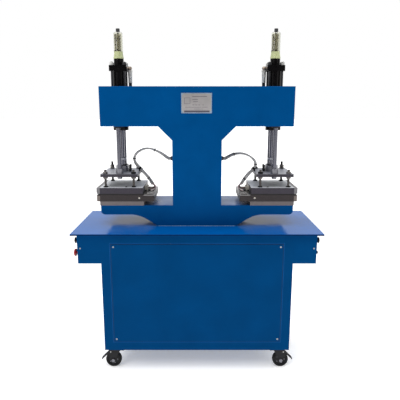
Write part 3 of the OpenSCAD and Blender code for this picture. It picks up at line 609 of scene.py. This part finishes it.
def hose(name, points, diameter, finish, fittings=()):
    """A rubber hose from a port to the valve block."""
    curve = bpy.data.curves.new(name, "CURVE")
    curve.dimensions = "3D"
    curve.bevel_depth = diameter / 2
    curve.bevel_resolution = 5
    curve.use_fill_caps = True
    spline = curve.splines.new("POLY")
    spline.points.add(len(points) - 1)
    for target, p in zip(spline.points, points):
        target.co = (*p, 1)
    curve.materials.append(FINISHES[finish])
    piece = put(name, curve)
    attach(piece, "root")
    return piece


def strand(points, turn):
    """One strand that winds round the bundle's line."""
    found, gone = [], 0.0
    for i, p in enumerate(points):
        way = heading(points, i)
        if i:
            gone += (p - points[i - 1]).length
        angle = turn + STRAND_TWIST * gone
        apart = (4.0 + 0.7 * math.sin(gone / 0.019)) * MM
        found.append(p + (way.cross(Y) * math.cos(angle) + Y * math.sin(angle)) * apart)
    return found


def lead_wires(side):
    """The wires from the cable's end to the terminals, and the sensor wire."""
    piece = Piece()
    wires = [
        (0, 6, [(229, -4.5, 914), (214, -20.5, 906), (217, -50.5, 892), (236, -80.5, 887),
                (256, -104.5, 884.5), (270, -116.5, 883)]),
        (2, 6, [(231, 5.5, 917), (221, 17.5, 908), (216, 29.5, 896), (222, 37.5, 886), (232, 41.5, 881)]),
        (2, 6, [(232, -8.5, 918), (219, -22.5, 913), (211, -34.5, 901), (219, -42.5, 891),
                (233, -46.5, 889.5), (240, -47.5, 889.5)])]
    for k, colour in enumerate((0, 1, 2, 1, 0)):
        away, lift = (k - 2) * 8.5, 3.0 * (k % 2)
        wires.append((colour, 5, [(229, (k - 2) * 1.6, 914), (222 - 2 * (k % 3), away * 0.4, 903 + lift),
                                  (227, away * 0.8, 893 + lift), (239, away, 890 + lift),
                                  (252.5, away, 893 + lift)]))
    for colour, steps, wire in wires:
        line = smooth([Vector((side * x, FRAME_Y + y, z)) * MM for x, y, z in wire], steps)
        piece.use(colour).tube(line, 1.5, 8)
    ends = sorted((side * 236, side * 249))
    piece.use(0).box((ends[0], -25, 885.6), (ends[1], -12, 894.6), 1.2)
    return head_done(piece, "lead_wires", side, "wire_black wire_brown wire_pink", "cable_sleeve")


def sleeve(name, points, strands, ties):
    """A length of the braided bundle with its ties."""
    piece = Piece()
    for line in strands:
        piece.use(0).tube(line, 4.4, 14)
    for target in ties:
        nearest = min(range(1, len(points) - 1), key=lambda i: (points[i] - target).length)
        way, at = heading(points, nearest), points[nearest] / MM
        piece.use(1).ring(at - way * 2.6, way, 7.6, 5.2, 1.4, 24)
        piece.use(1).box(at + Vector((-2.5, -10.4, -2)), at + Vector((2.5, -7.8, 2)), 0.4)
    return piece.done(name, "sleeve tie", None, "cable_sleeve")


def heater_cable(side):
    """The bundle from the column to the press head's clip, and its end."""
    word = SIDES[side]
    points = smooth(route(side, CABLE_ROUTES[side]), 6)
    strands = [strand(points, turn) for turn in (0.35, 0.35 + math.pi)]
    ties = route(side, TIE_PLACES[side])
    cut = min(range(60, len(points)), key=lambda i: abs(points[i].z - CLIP_Z * MM))
    start, rest = slice(cut + 1), slice(cut, None)
    arch = sleeve(f"heater_cable_{word}_arch", points[start], [line[start] for line in strands], ties[:2])
    end = sleeve(f"heater_cable_{word}_end", points[rest], [line[rest] for line in strands], ties[2:])
    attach(end, f"press_head_{word}")
    leads = lead_wires(side)
    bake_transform(arch)
    for piece, line, fittings in ((arch, points[start], []), (end, points[rest], [leads])):
        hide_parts(f"heater_cable_{word}")


def ferrule(side):
    """The crimped sleeve of a pressure hose."""
    profile = [(8.2, 1422.5), (8.9, 1422), (9.5, 1422.6)]
    for z in (1427, 1433, 1439, 1445):
        profile += [(9.5, z - 1.6), (8.9, z - 0.9), (8.9, z + 0.9), (9.5, z + 1.6)]
    profile += [(9.8, 1449.4), (9.8, 1455.6), (8.2, 1455.8)]
    return Piece().loop((side * PORT_X, FRAME_Y, 0), Z, profile, 40).done(
        f"hose_ferrule_{SIDES[side]}", "zinc", "root", "nickel_fitting", angle=40)


def make_cords():
    hoses = []
    for side, word in SIDES.items():
        pressure = smooth(route(side, PRESSURE_ROUTE), 4)
        hoses.append(hose(f"pressure_hose_{word}", pressure, 0.016, "rubber", [ferrule(side)]))
        hoses.append(hose(f"return_hose_{word}", smooth(route(side, RETURN_ROUTE), 4), 0.014, "rubber"))
        heater_cable(side)
    for piece in hoses:
        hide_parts("hydraulic_hoses")


# --- frame ---


def outline_of(node, y):
    """The corners of a plate's largest face at y, in order."""
    bm = clean_copy(node)
    flat = [f for f in bm.faces if abs(f.calc_center_median().y - y * MM) < 1e-4 and abs(f.normal.y) > 0.9]
    corners = [v.co.copy() for v in max(flat, key=lambda f: f.calc_area()).verts]
    bm.free()
    return corners


def bead(distance):
    """The ripple of a weld bead."""
    return 1.0 + 0.16 * math.sin(distance / 0.0021) + 0.1 * math.sin(distance / 0.013)


def weld_seams():
    """Beads between webs and plates, and the pale bead at the foot."""
    seams = Piece()
    for node, y in (("frame_front_plate", FRAME_FRONT + PLATE), ("frame_rear_plate", FRAME_BACK - PLATE)):
        corners = outline_of(node, y)
        foot_line = [(b - a).length if b.z < (TABLE_Z + 1) * MM else 0
                     for a, b in zip(corners[-1:] + corners, corners)]
        start = foot_line.index(max(foot_line))
        line = corners[start:] + corners[:start]
        seams.tube(dense(line, 0.004), 0.9, 6, lambda distance: 1 + 0.06 * math.sin(distance / 0.0021))
    seams.done("frame_weld_seams", "frame", "root", "frame_paint", angle=180)
    vertices = frame["nodes"]["frame_front_plate"].data.vertices
    reach = max(v.co.x for v in vertices if v.co.z < (TABLE_Z + 0.5) * MM)
    foot, height = Piece(), (TABLE_Z + 0.6) * MM
    lines = [[Vector((way * reach, y * MM, height)) for way in SIDES]
             for y in (FRAME_FRONT - 0.2, FRAME_BACK + 0.2)]
    lines += [[Vector((side * (reach + 0.0004), y * MM, height)) for y in (FRAME_FRONT, FRAME_BACK)]
              for side in SIDES]
    for line in lines:
        foot.tube(dense(line, 0.0012), 2.3, 8, bead)
    foot.done("foot_weld", "weld", "root", "frame_paint", angle=180)


def nameplate():
    """A rating plate with blank lines and a blank bar."""
    low, high = limits("nameplate")
    refine("nameplate", "plate plate_rim", 0.4, edge_index=1)
    rim, marks = Piece(), Piece()
    width, front = 3.6, low.y - 0.25
    for x0, z0, x1, z1 in ((low.x, low.z, high.x, low.z + width), (low.x, high.z - width, high.x, high.z),
                           (low.x, low.z + width, low.x + width, high.z - width),
                           (high.x - width, low.z + width, high.x, high.z - width)):
        rim.box((x0, front, z0), (x1, low.y + 0.1, z1), 0.1)
    for x in (low.x + 6.5, high.x - 6.5):
        for z in (low.z + 6.5, high.z - 6.5):
            rim.lathe((x, low.y, z), -Y, [(2.6, 0), (2.5, 0.6), (1.9, 1.2), (0.9, 1.5)], 20)
    rim.done("nameplate_rim", "plate_rim", "root", "nameplate_metal")
    lines = [(-22, 47, 1354, 3.2), (-22, 4, 1340, 2.6), (-18, 4, 1330, 2.6), (-22, -12, 1315, 2.6),
             (-8, 2, 1315, 2.6), (6, 14, 1315, 2.6), (26, 32, 1315, 2.6), (-56, 20, 1304.5, 1.8),
             (24, 50, 1304.5, 1.8), (-14, 30, 1296, 1.4), (-60, -32, 1320.8, 1.6), (-60, -32, 1347.8, 1.6),
             (-60, -58.4, 1334.3, 25.4), (-33.6, -32, 1334.3, 25.4)]
    for x0, x1, z, tall in lines:
        marks.box((x0, front, z - tall / 2), (x1, low.y + 0.1, z + tall / 2), 0)
    marks.use(1).box((-61, front, 1280.5), (60, low.y + 0.1, 1289), 0)
    marks.done("nameplate_marks", "print bar", "root", "nameplate_metal")


def make_frame():
    enamel = "frame frame_edge"
    for place in ("front", "rear"):
        refine(f"frame_{place}_plate", enamel, 1.1, edge_index=1)
    # Faces that point up take the lighter copy of the enamel as a painted sheen.
    refine("frame_webs", enamel + " frame_top", 0.8,
           lambda c, n: 2 if n.z > 0.9 else 0, edge_index=1)
    weld_seams()
    nameplate()


# --- table, cabinet and controls ---


def cross_screw(piece, at, axis, radius, height):
    """A pan head with a cross recess."""
    profile = [(radius, 0), (radius, height * 0.4), (radius * 0.82, height * 0.8), (radius * 0.45, height)]
    piece.use(0).lathe(at, axis, profile, 28)
    u, v = square_to(axis)
    top = Vector(at) + axis * height
    for a, b in ((u, v), (v, u)):
        long, short = a * radius * 0.55, b * radius * 0.11
        corners = [top + long * s + short * t for s, t in ((-1, -1), (1, -1), (1, 1), (-1, 1))]
        piece.use(1).skin([[piece.vert(p + axis * h) for p in corners] for h in (-0.3, 0.06)])


def panel_screws():
    """Screws of the panels and the control boxes."""
    piece = Piece()
    low, high = limits("cabinet_front_panel")
    back = limits("cabinet_rear_panel")[1].y
    for x in (low.x + 12, high.x - 12):
        for z in (low.z + 12, high.z - 12):
            cross_screw(piece, (x, low.y, z), -Y, 4.4, 2.6)
            cross_screw(piece, (x, back, z), Y, 4.4, 2.6)
    for side in SIDES:
        box_low, box_high = limits(f"control_box_{SIDES[side]}")
        outer = box_high.x if side > 0 else box_low.x
        cross_screw(piece, (outer - side * 14, box_low.y, 643), -Y, 3.8, 2.2)
        near, far, bottom, top = box_low.y + 12, box_high.y - 12, box_low.z + 10, box_high.z - 12
        for y, z in ((near, bottom), (far, bottom), (far, top)):
            cross_screw(piece, (outer, y, z), X * side, 3.6, 2.0)
    piece.done("cabinet_screws", "zinc black_steel", "root", "zinc_fasteners", ["panel_screws"])


def painted_panel_outline():
    """Dark strips round the front panel as painted shadow, and the shell's rim in lighter edge paint as a
    painted highlight.
    """
    low, high = limits("cabinet_front_panel")
    face = high.y
    gap_shadow, lip_highlight = Piece(), Piece()
    # The first set of strips is painted shadow next to the panel, the second a painted highlight on the
    # shell's rim.
    for piece, inner, outer, rise in ((gap_shadow, 0.0, 1.5, 0.25), (lip_highlight, 5.5, 6.7, 0.3)):
        for x0, x1 in ((low.x - outer, low.x - inner), (high.x + inner, high.x + outer)):
            piece.box((x0, face - rise, low.z - outer), (x1, face + 0.2, high.z + outer), 0)
        for z0, z1 in ((low.z - outer, low.z - inner), (high.z + inner, high.z + outer)):
            piece.box((low.x - inner, face - rise, z0), (high.x + inner, face + 0.2, z1), 0)
    gap_shadow.done("front_panel_painted_gap_shadow", "gap_shadow", "root", "cabinet_paint")
    lip_highlight.done("front_panel_lip_painted_highlight", "panel_edge", "root", "cabinet_paint")


def louvres():
    """A hood over every vent slot."""
    corner = limits("cabinet_rear_panel")[1]
    piece = Piece()
    profile = [(-0.4, 2.6), (2.2, 2.0), (4.2, 0.2), (5.0, -3.0), (4.2, -3.4), (3.4, -0.4), (1.6, 1.2),
               (-0.4, 1.6)]
    for row in range(5):
        for column in range(-4, 5):
            x, z = column * 34, corner.z - 150 + row * 20 + 6
            piece.skin([[piece.vert(Vector((x + s * 13, corner.y + y * k, z + h))) for y, h in profile]
                        for s, k in ((-1, 0.3), (-0.9, 1), (0.9, 1), (1, 0.3))])
    piece.done("rear_louvres", "cabinet", "root", "cabinet_paint", angle=60)


def button_housings():
    """Fixed bodies of the push buttons with a nickel ring."""
    piece = Piece()
    for side in SIDES:
        for z in (BUTTON_HIGH, BUTTON_LOW):
            at, axis = (0, BUTTON_Y, z), X * side
            piece.use(0).loop(at, axis, [(6.1, 546), (6.1, 577.5), (9.6, 577.5), (9.6, 574), (9, 574),
                                         (9, 546)], 36)
            piece.use(1).loop(at, axis, [(8.6, 574), (8.6, 579), (10.4, 579), (12.2, 578.2), (13, 576.4),
                                         (13, 574)], 48)
            piece.use(0).lathe((side * 566, BUTTON_Y, z), axis, [(12, 0), (12, 5)], 6)
    piece.done("button_bodies", "button nickel", "root", "button_black", ["button_housings"])


def push_buttons():
    """The moving heads of the four buttons."""
    mushroom = [(6, 556), (6, 585.4), (13.2, 585), (14.6, 585.8), (15, 587.4), (14.7, 589.6), (13.2, 591.4),
                (10, 592.6), (4, 593)]
    stop = [(6, 556), (6, 584.4), (7.6, 584), (8, 584.8), (8, 587.2), (7.3, 588), (5, 587.9), (4.6, 587.4),
            (2, 587.3)]
    emergency = [(6, 556), (6, 587.4), (15.5, 587), (18, 587.8), (18.5, 589.4), (17.7, 590.4), (17.7, 591),
                 (18.5, 592), (18.3, 594), (17, 596), (13.5, 597.4), (6, 598)]
    rows = [("start_button_left", -1, BUTTON_HIGH, mushroom, "black"),
            ("emergency_stop", -1, BUTTON_LOW, emergency, "red"),
            ("start_button_right", 1, BUTTON_HIGH, mushroom, "black"),
            ("stop_button", 1, BUTTON_LOW, stop, "black")]
    for node, side, z, profile, colour in rows:
        piece = Piece()
        piece.lathe((0, BUTTON_Y, z), X * side, profile, 56)
        body, finish = frame["nodes"][node]["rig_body"], "red" if colour == "red" else "button"
        piece.done(f"{node}_head", finish, body, f"button_{colour}", [node], angle=50)


def face_plate(piece, side, low, high, rise, index):
    """A thin plate on the instruments' outer face."""
    xs = sorted((side * (BOX_END - 0.4), side * (BOX_END + rise)))
    piece.use(index).box((xs[0], *low), (xs[1], *high), 0.25)


def instruments():
    """Blank controllers and timers with windows and keys."""
    refine("panel_instruments", "case", 0.8)
    piece = Piece()
    for side in SIDES:
        for y, z, w, keys in ((-122.5, 607, 66, 4), (-32.5, 619, 42, 3)):
            start, end, step = y + 4, y + w - 4, (w - 8) / keys
            face_plate(piece, side, (start, z + w * 0.56), (end, z + w - 4), 0.25, 0)
            face_plate(piece, side, (start, z + w * 0.36), (end, z + w * 0.52), 0.2, 0)
            for key in (start + k * step for k in range(keys)):
                face_plate(piece, side, (key + 1.2, z + 5), (key + step - 1.2, z + w * 0.24), 0.9, 1)
    piece.done("instrument_faces", "window key", "root", "instrument_plastic")


def make_cabinet():
    enamel = "cabinet cabinet_edge"
    # Vertical faces of the table take the dark copy of its blue as painted shade.
    refine("table_top", "table table_side table_edge", 1.2,
           lambda c, n: abs(n.z) <= 0.5, edge_index=2, segments=3)
    refine("cabinet_shell", enamel, 1.0)
    # The front panel's rounded edges take the lighter edge paint as a painted highlight.
    refine("cabinet_front_panel", "cabinet panel_edge", 0.9, edge_index=1)
    painted_panel_outline()
    refine("cabinet_rear_panel", enamel, 0.3)
    for word in SIDES.values():
        refine(f"control_box_{word}", enamel, 0.9)
    panel_screws()
    louvres()
    button_housings()
    push_buttons()
    instruments()


def make_inside():
    """What stands in the closed cabinet."""
    for node, finish, slot, edge in (("oil_tank", "tank", "tank_paint", 1.0),
                                     ("pump_motor", "motor", "motor_paint", 1.2),
                                     ("gear_pump", "pump", "pump_alu", 0.8)):
        refine(node, finish, edge)
    refine("valve_block", "valve electric", 0.8, lambda c, n: c.y < -17)
    refine("contactor_panel", "rail electric", 0.6, lambda c, n: c.x < 418)


# --- cylinders ---


def tie_rods():
    """Tie rods, threaded above the cap, with washers and nuts."""
    piece = Piece()
    for side in SIDES:
        for i, j, at in seats(side, TIE_HALF, TIE_HALF):
            piece.use(1).lathe(at, Z, [(4.4, 1371), (5, 1372), (5, 1500)], 24)
            piece.use(0).thread(at + Z * 1500, Z, 5, 22, 1.5)
            piece.use(int(side * i != -j)).lathe(at, Z, [(10.4, 1504), (10.4, 1505.6)], 32)
            piece.hexagon(at + Z * 1505.6, Z, TIE_NUT, 12.4, turn=15)
            piece.use(1).hexagon(at + Z * 1375, Z, TIE_NUT, 14, turn=15)
    piece.done("tie_rods_and_nuts", "zinc oxide", "root", "zinc_fasteners", ["cylinder_tie_rods"], 35)


def oil_cups():
    """Collar, inner pipe, plug and glass of each oil cup."""
    collar, glass = Piece(), Piece()
    for side in SIDES:
        at, inner = (side * STATION_X, FRAME_Y, 0), (side * STATION_X - 3, FRAME_Y, 0)
        collar.use(0).lathe(at, Z, [(23, 1536), (25, 1536.6), (25, 1543.6), (24.2, 1544.6), (22.2, 1558),
                                    (21.4, 1563), (21.8, 1566), (22.1, 1568.4), (21.6, CUP_FOOT)], 56)
        collar.use(1).lathe(inner, Z, [(15, CUP_FOOT), (15, 1629.6), (14.2, 1630)], 48)
        collar.use(1).lathe(inner, Z, [(14.6, 1630), (15.5, 1630.8), (15.5, 1649), (14.4, 1650)], 48)
        collar.use(3).lathe(inner, Z, [(17, CUP_FOOT), (17, 1575), (15, 1577)], 48)
        collar.use(3).loop(inner, Z, [(15, 1627), (15.8, 1627.4), (15.8, 1632.6), (15, 1633)], 48)
        collar.use(2).lathe(at, Z, [(5, 1655), (8, 1661), (9.5, 1662), (9.5, 1675.4), (8.6, 1677),
                                    (4, 1677)], 14)
        glass.loop(at, Z, [(19.3, CUP_FOOT), (22.25, CUP_FOOT), (22.25, 1651), (21.6, 1655), (19.4, 1658.4),
                           (16.4, 1660.3), (12.5, 1661), (5, 1661), (5, 1658), (12.2, 1658), (15.3, 1657.2),
                           (17.6, 1655.4), (18.9, 1652.8), (19.3, 1650)], 64)
    looks = "cup standpipe plug pipe_band"
    collar.done("oil_cup_collars", looks, "root", "cup_metal", ["oil_cup_fittings"], 30)
    glass.done("oil_cup_glass", "clear", "root", "clear_tube", ["oil_cup_tubes"])


def port_elbows():
    """Elbow, nut and crimped ferrule of each pressure hose."""
    refine("port_elbows", "nickel zinc", 0.5, lambda c, n: 1440 < c.z < 1473)
    crimps = Piece()
    for side in SIDES:
        for z in (1457.6, 1461.6, 1465.6, 1469.2):
            crimps.ring((side * 330.5, FRAME_Y, z), Z, 9.6, 2.4, 0.75, 36)
    crimps.done("ferrule_crimps", "zinc", "root", "nickel_fitting")


def bushing_wipers():
    """Rubber wipers under the guide bushings."""
    piece = Piece()
    for side in SIDES:
        for y in (FRAME_Y - 88, FRAME_Y + 88):
            piece.loop((side * STATION_X, y, 0), Z, [(10.15, 1206.4), (13.6, 1206), (14.6, 1207),
                                                     (14.6, 1209.1), (10.15, 1209.1)], 40)
    piece.done("guide_wipers", "tyre", "root", "hose_rubber")


def make_cylinders():
    for node, edge, segments in (("cylinder_barrels", 0.8, 2), ("cylinder_caps", 1.6, 3),
                                 ("cylinder_lock_nuts", 0.9, 2)):
        refine(node, "black", edge, segments=segments)
    refine("guide_bushings", "bronze black_steel", 0.5, lambda c, n: c.z < 1214)
    tie_rods()
    oil_cups()
    port_elbows()
    bushing_wipers()


# --- press heads ---


def head_done(piece, name, side, finishes, slot, replaces=(), angle=45):
    """Finishes a piece that rides on the side's press head."""
    return piece.done(f"{name}_{SIDES[side]}", finishes, f"press_head_{SIDES[side]}", slot, replaces, angle)


def studs(side):
    """Threaded levelling studs with their nuts and washers."""
    piece = Piece()
    foot, nut_at = 896.3, RAM_TOP + WASHER
    for i, j, at in seats(side, side * 70, 97):
        # Rear studs and their middle nuts take the black steel as painted shade; the front ones stay bright
        # steel.
        tall, rear_shade_index = i > 0 and j > 0, int(j > 0)
        piece.use(rear_shade_index).thread(at + Z * foot, Z, 6, (1019.5 if tall else 1001.5) - foot)
        piece.use(1).hexagon(at + Z * PLATEN_TOP, Z, STUD_NUT, 6, turn=10)
        piece.use(rear_shade_index).hexagon(at + Z * 957, Z, STUD_NUT, 8.6, turn=40)
        piece.use(1).lathe(at, Z, [(12.5, 965.6), (12.5, 967)], 32)
        piece.use(1).lathe(at, Z, [(12.5, RAM_TOP), (12.5, nut_at)], 32)
        piece.use(int(i < 0)).hexagon(at + Z * nut_at, Z, STUD_NUT, 8.5, turn=25)
        if tall:
            piece.use(0).hexagon(at + Z * 992.4, Z, STUD_NUT, 9, turn=5)
    head_done(piece, "studs_and_nuts", side, "stud_steel black_steel", "dark_oxide",
              [f"levelling_studs_{SIDES[side]}"], 35)


def hub_screws(side):
    """Cap screws on the hub and two tall ones beside it."""
    piece = Piece()
    for k in range(4):
        a = math.radians(45 + 90 * k)
        piece.bolt((side * STATION_X + 23.5 * math.cos(a), FRAME_Y + 23.5 * math.sin(a), 1011.5), Z, 5, 5)
    for y in (-14, 14):
        at = (side * (STATION_X - 41), FRAME_Y + y, RAM_TOP)
        piece.lathe(at, Z, [(5.6, 0), (5.6, 14), (4, 14), (4, 18), (5.4, 18), (5.4, 33), (4.6, 34)], 24)
    head_done(piece, "hub_screws", side, "black_steel", "dark_oxide", angle=35)


def rod_face(centre, normal):
    """Chrome shaft, bright coupling ring and turned hub."""
    if 1041 < centre.z < 1052 and abs(normal.z) < 0.99:
        return 1
    if centre.z < 968:
        return 3
    return 2 if centre.z < 1012 else 0


def cable_clip(side):
    """The clip that holds the heater cable."""
    piece = Piece()
    points = route(side, CABLE_ROUTES[side])
    k = min(range(10, 16), key=lambda i: abs(points[i].z - CLIP_Z * MM))
    at, way = points[k] / MM, heading(points, k)
    piece.ring(at - way * 5, way, 8.2, 10, 1.2, 32)
    xs = sorted((side * 286, side * 300))
    top = RAM_TOP + 1.7
    piece.box((xs[0], FRAME_Y - 7, RAM_TOP), (xs[1], FRAME_Y + 7, top), 0.4)
    piece.bolt((side * 297, FRAME_Y + 2, top), Z, 4, 3.4)
    head_done(piece, "cable_clip", side, "black_steel", "zinc_fasteners")


def platen_details(side):
    """End strip and screws of the upper platen."""
    piece = Piece()
    xs = sorted((side * 481, side * 497.1))
    piece.use(0).box((xs[0], -92.9, 884.6), (xs[1], 148.9, 914.3), 0.5)
    piece.use(1).bolt((side * 352, -72, PLATEN_TOP), Z, 4.6, 4)
    for y in (-16, -8, 0, 8, 16):
        piece.use(2).bolt((side * 257, FRAME_Y + y, 906), Z, 2.4, 1.6, sides=16)
    head_done(piece, "upper_platen_details", side, "strip black_steel nickel", "upper_platen_metal")


def make_head(side):
    word = SIDES[side]
    refine(f"piston_rod_{word}", "chrome milled turned black_steel", 0.6, rod_face)
    refine(f"guide_rods_{word}", "chrome turned", 0.6, lambda c, n: c.z < 1008)
    refine(f"ram_plate_{word}", "milled milled_edge", 0.7, lambda c, n: n.z <= 0.5)
    refine(f"upper_platen_{word}", "upper terminal", 0.7,
           lambda c, n: abs(c.x) < 268)
    refine(f"insulation_board_{word}", "board upper", 0.4, lambda c, n: n.z <= 0.5)
    studs(side)
    hub_screws(side)
    cable_clip(side)
    platen_details(side)


def lower_platen_details():
    """Thin plate, end strip and screws of each lower platen."""
    piece = Piece()
    low, high = limits("lower_platens")
    for side in SIDES:
        xs = sorted((side * 212.8, side * 264))
        piece.use(0).box((xs[0], -92.8, 876), (xs[1], 148.8, 879.4), 0.4)
        piece.use(2).lathe((side * 286, -92.5, 863), -Y, [(4.6, 0), (4.6, 1.6), (3.6, 2.4), (1.4, 2.6)], 28)
        for y in (-60, 20, 100):
            piece.use(1).bolt((side * 226, y, 879.4), Z, 4, 3.2)
        ends = sorted((side * 481, side * (high.x + 0.3)))
        piece.use(3).box((ends[0], low.y - 0.3, 846), (ends[1], high.y + 0.3, 874), 0.5)
    piece.done("lower_platen_details", "ledge black_steel terminal strip_low", "root", "lower_platen_metal")


def glands():
    """Cable glands on the column's sides."""
    piece = Piece()
    for side in SIDES:
        axis = X * side
        at = (side * GLAND_X, FRAME_Y, GLAND_Z)
        piece.lathe(at, axis, [(8, -16), (8, 0)], 32)
        piece.hexagon(at, axis, 20.6, 6)
        profile = [(6.2, 5), (6.2, 16), (7.8, 16), (9.4, 14.4), (11.2, 11.6), (11.2, 6), (9, 5)]
        piece.loop(at, axis, profile, 18)
    piece.done("cable_gland_nuts", "gland", "root", "gland_plastic", ["cable_glands"], 25)


def make_stations():
    refine("base_plates", "base", 0.8)
    refine("lower_platens", "lower ledge", 0.7, lambda c, n: c.z > 879.5)
    refine("embossing_moulds", "seam", 0.4)
    lower_platen_details()
    glands()
    for side in SIDES:
        make_head(side)


# --- casters ---


def wheel(word, side, depth):
    """A tyre on a core with a ring of screws."""
    centre = Vector((side * CASTER_X, depth * CASTER_Y, WHEEL_Z))
    piece = Piece()
    tyre = [(30.4, -12.4), (33, -13), (36.6, -12.6), (39, -10.4), (40, -7)]
    core = [(5.06, -14), (10.4, -14), (11, -13.2), (11.6, -10), (14, -8.4), (26.6, -8.4), (29, -11.8),
            (31, -12)]
    piece.use(0).loop(centre, Y, mirrored(tyre), 72)
    piece.use(1).loop(centre, Y, mirrored(core), 56)
    for k in range(5):
        a = 2 * math.pi * k / 5
        for way in (-1, 1):
            at = centre + Vector((20 * math.cos(a), way * 8.3, 20 * math.sin(a)))
            piece.use(2).lathe(at, Y * way, [(2.6, 0), (2.6, 0.9), (1.6, 1.4)], 16)
    node = f"caster_wheel_{word}"
    body = frame["nodes"][node]["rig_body"]
    piece.done(f"{node}_built", "tyre caster turned", body, "wheel_rubber", [node], 35)


def pedal_ribs(side):
    """Grip ribs across a brake pedal."""
    slope, lift = (Vector((side * math.sqrt(0.5), 0, way * math.sqrt(0.5))) for way in (-1, 1))
    pin = Vector((side * (CASTER_X + 12), -CASTER_Y, 87))
    piece = Piece()
    for k in range(8):
        middle = pin + slope * (18 + 6 * k) + lift * 4.3
        piece.tube([(middle + Y * y) * MM for y in (-10, -9, 9, 10)], 1.3, 10)
    piece.done(f"pedal_ribs_{SIDES[side]}", "caster", f"brake_{SIDES[side]}", "caster_metal")


def make_casters():
    refine("caster_plates", "caster", 0.6)
    for depth, place in ((-1, "front"), (1, "rear")):
        for side, word in SIDES.items():
            fork = f"caster_fork_{place}_{word}"
            refine(fork, "caster turned", 0.6,
                   lambda c, n, y=depth * CASTER_Y: abs(c.y - y) > 19.2)
            wheel(f"{place}_{word}", side, depth)
    for side, word in SIDES.items():
        refine(f"brake_pedal_{word}", "caster zinc", 0.6,
               lambda c, n: abs(c.y + CASTER_Y) > 18.8)
        pedal_ribs(side)


# --- studio ---


def make_floor():
    """A plain pale floor."""
    mesh = bpy.data.meshes.new("floor")
    size = 40
    corners = [(x * size, y * size, 0) for x, y in ((-1, -1), (1, -1), (1, 1), (-1, 1))]
    mesh.from_pydata(corners, [], [(0, 1, 2, 3)])
    f = Finish("pale_floor", Roughness=0.9, Emission_Color=(1, 1, 1, 1), Emission_Strength=0.3)
    f.wear(f.mix(f.span(f.noise(3, 3), 0, 1), tone((244, 244, 244)), tone((250, 250, 250))))
    mesh.materials.append(f.material)
    put("floor", mesh)


def make_world():
    """White to the camera, and softer behind it for the metal to mirror."""
    world = bpy.data.worlds.new("studio")
    bpy.context.scene.world = world
    world.use_nodes = True
    tree = world.node_tree
    direction = add_node(tree, "TexCoord", {}).outputs["Generated"]
    split = add_node(tree, "SeparateXYZ", {0: direction}).outputs
    ramp = add_node(tree, "MapRange", span_of(split["Y"], 0.06, 0.95, -0.5, 0.35)).outputs[0]
    up = add_node(tree, "MapRange", span_of(split["Z"], 0.0, 0.5, 0.2, 0.9)).outputs[0]
    total = add_node(tree, "Math", {0: ramp, 1: up}).outputs[0]
    seen = add_node(tree, "LightPath", {}).outputs["Is Camera Ray"]
    choice = add_node(tree, "Mix", {0: seen, 6: total, 7: (1, 1, 1, 1)}, data_type="RGBA").outputs[2]
    join(tree, choice, tree.nodes["Background"].inputs["Color"])


def area_light(name, place, target, size, power):
    data = bpy.data.lights.new(name, "AREA")
    data.shape = "RECTANGLE"
    data.size, data.size_y = size
    data.energy = power
    light = put(name, data)
    light.location = place
    light.rotation_euler = (Vector(target) - Vector(place)).to_track_quat("-Z", "Y").to_euler()


def make_lights():
    """Soft light from above and two screens in front."""
    sun = bpy.data.lights.new("sky", "SUN")
    sun.energy = 1.7
    sun.angle = math.radians(60)
    put("sky", sun).rotation_euler = (math.radians(12), math.radians(-12), 0)
    area_light("key", (-2.4, -2.6, 2.6), (0, 0, 0.9), (1.6, 1.6), 22)
    area_light("fill", (2.8, -2.2, 1.8), (0, 0, 0.8), (1.2, 1.8), 10)
    bpy.context.scene.view_settings.view_transform = "Standard"


# --- the press ---

make_camera()
make_cords()
make_frame()
make_cabinet()
make_inside()
make_cylinders()
make_stations()
make_casters()
make_floor()
make_world()
make_lights()
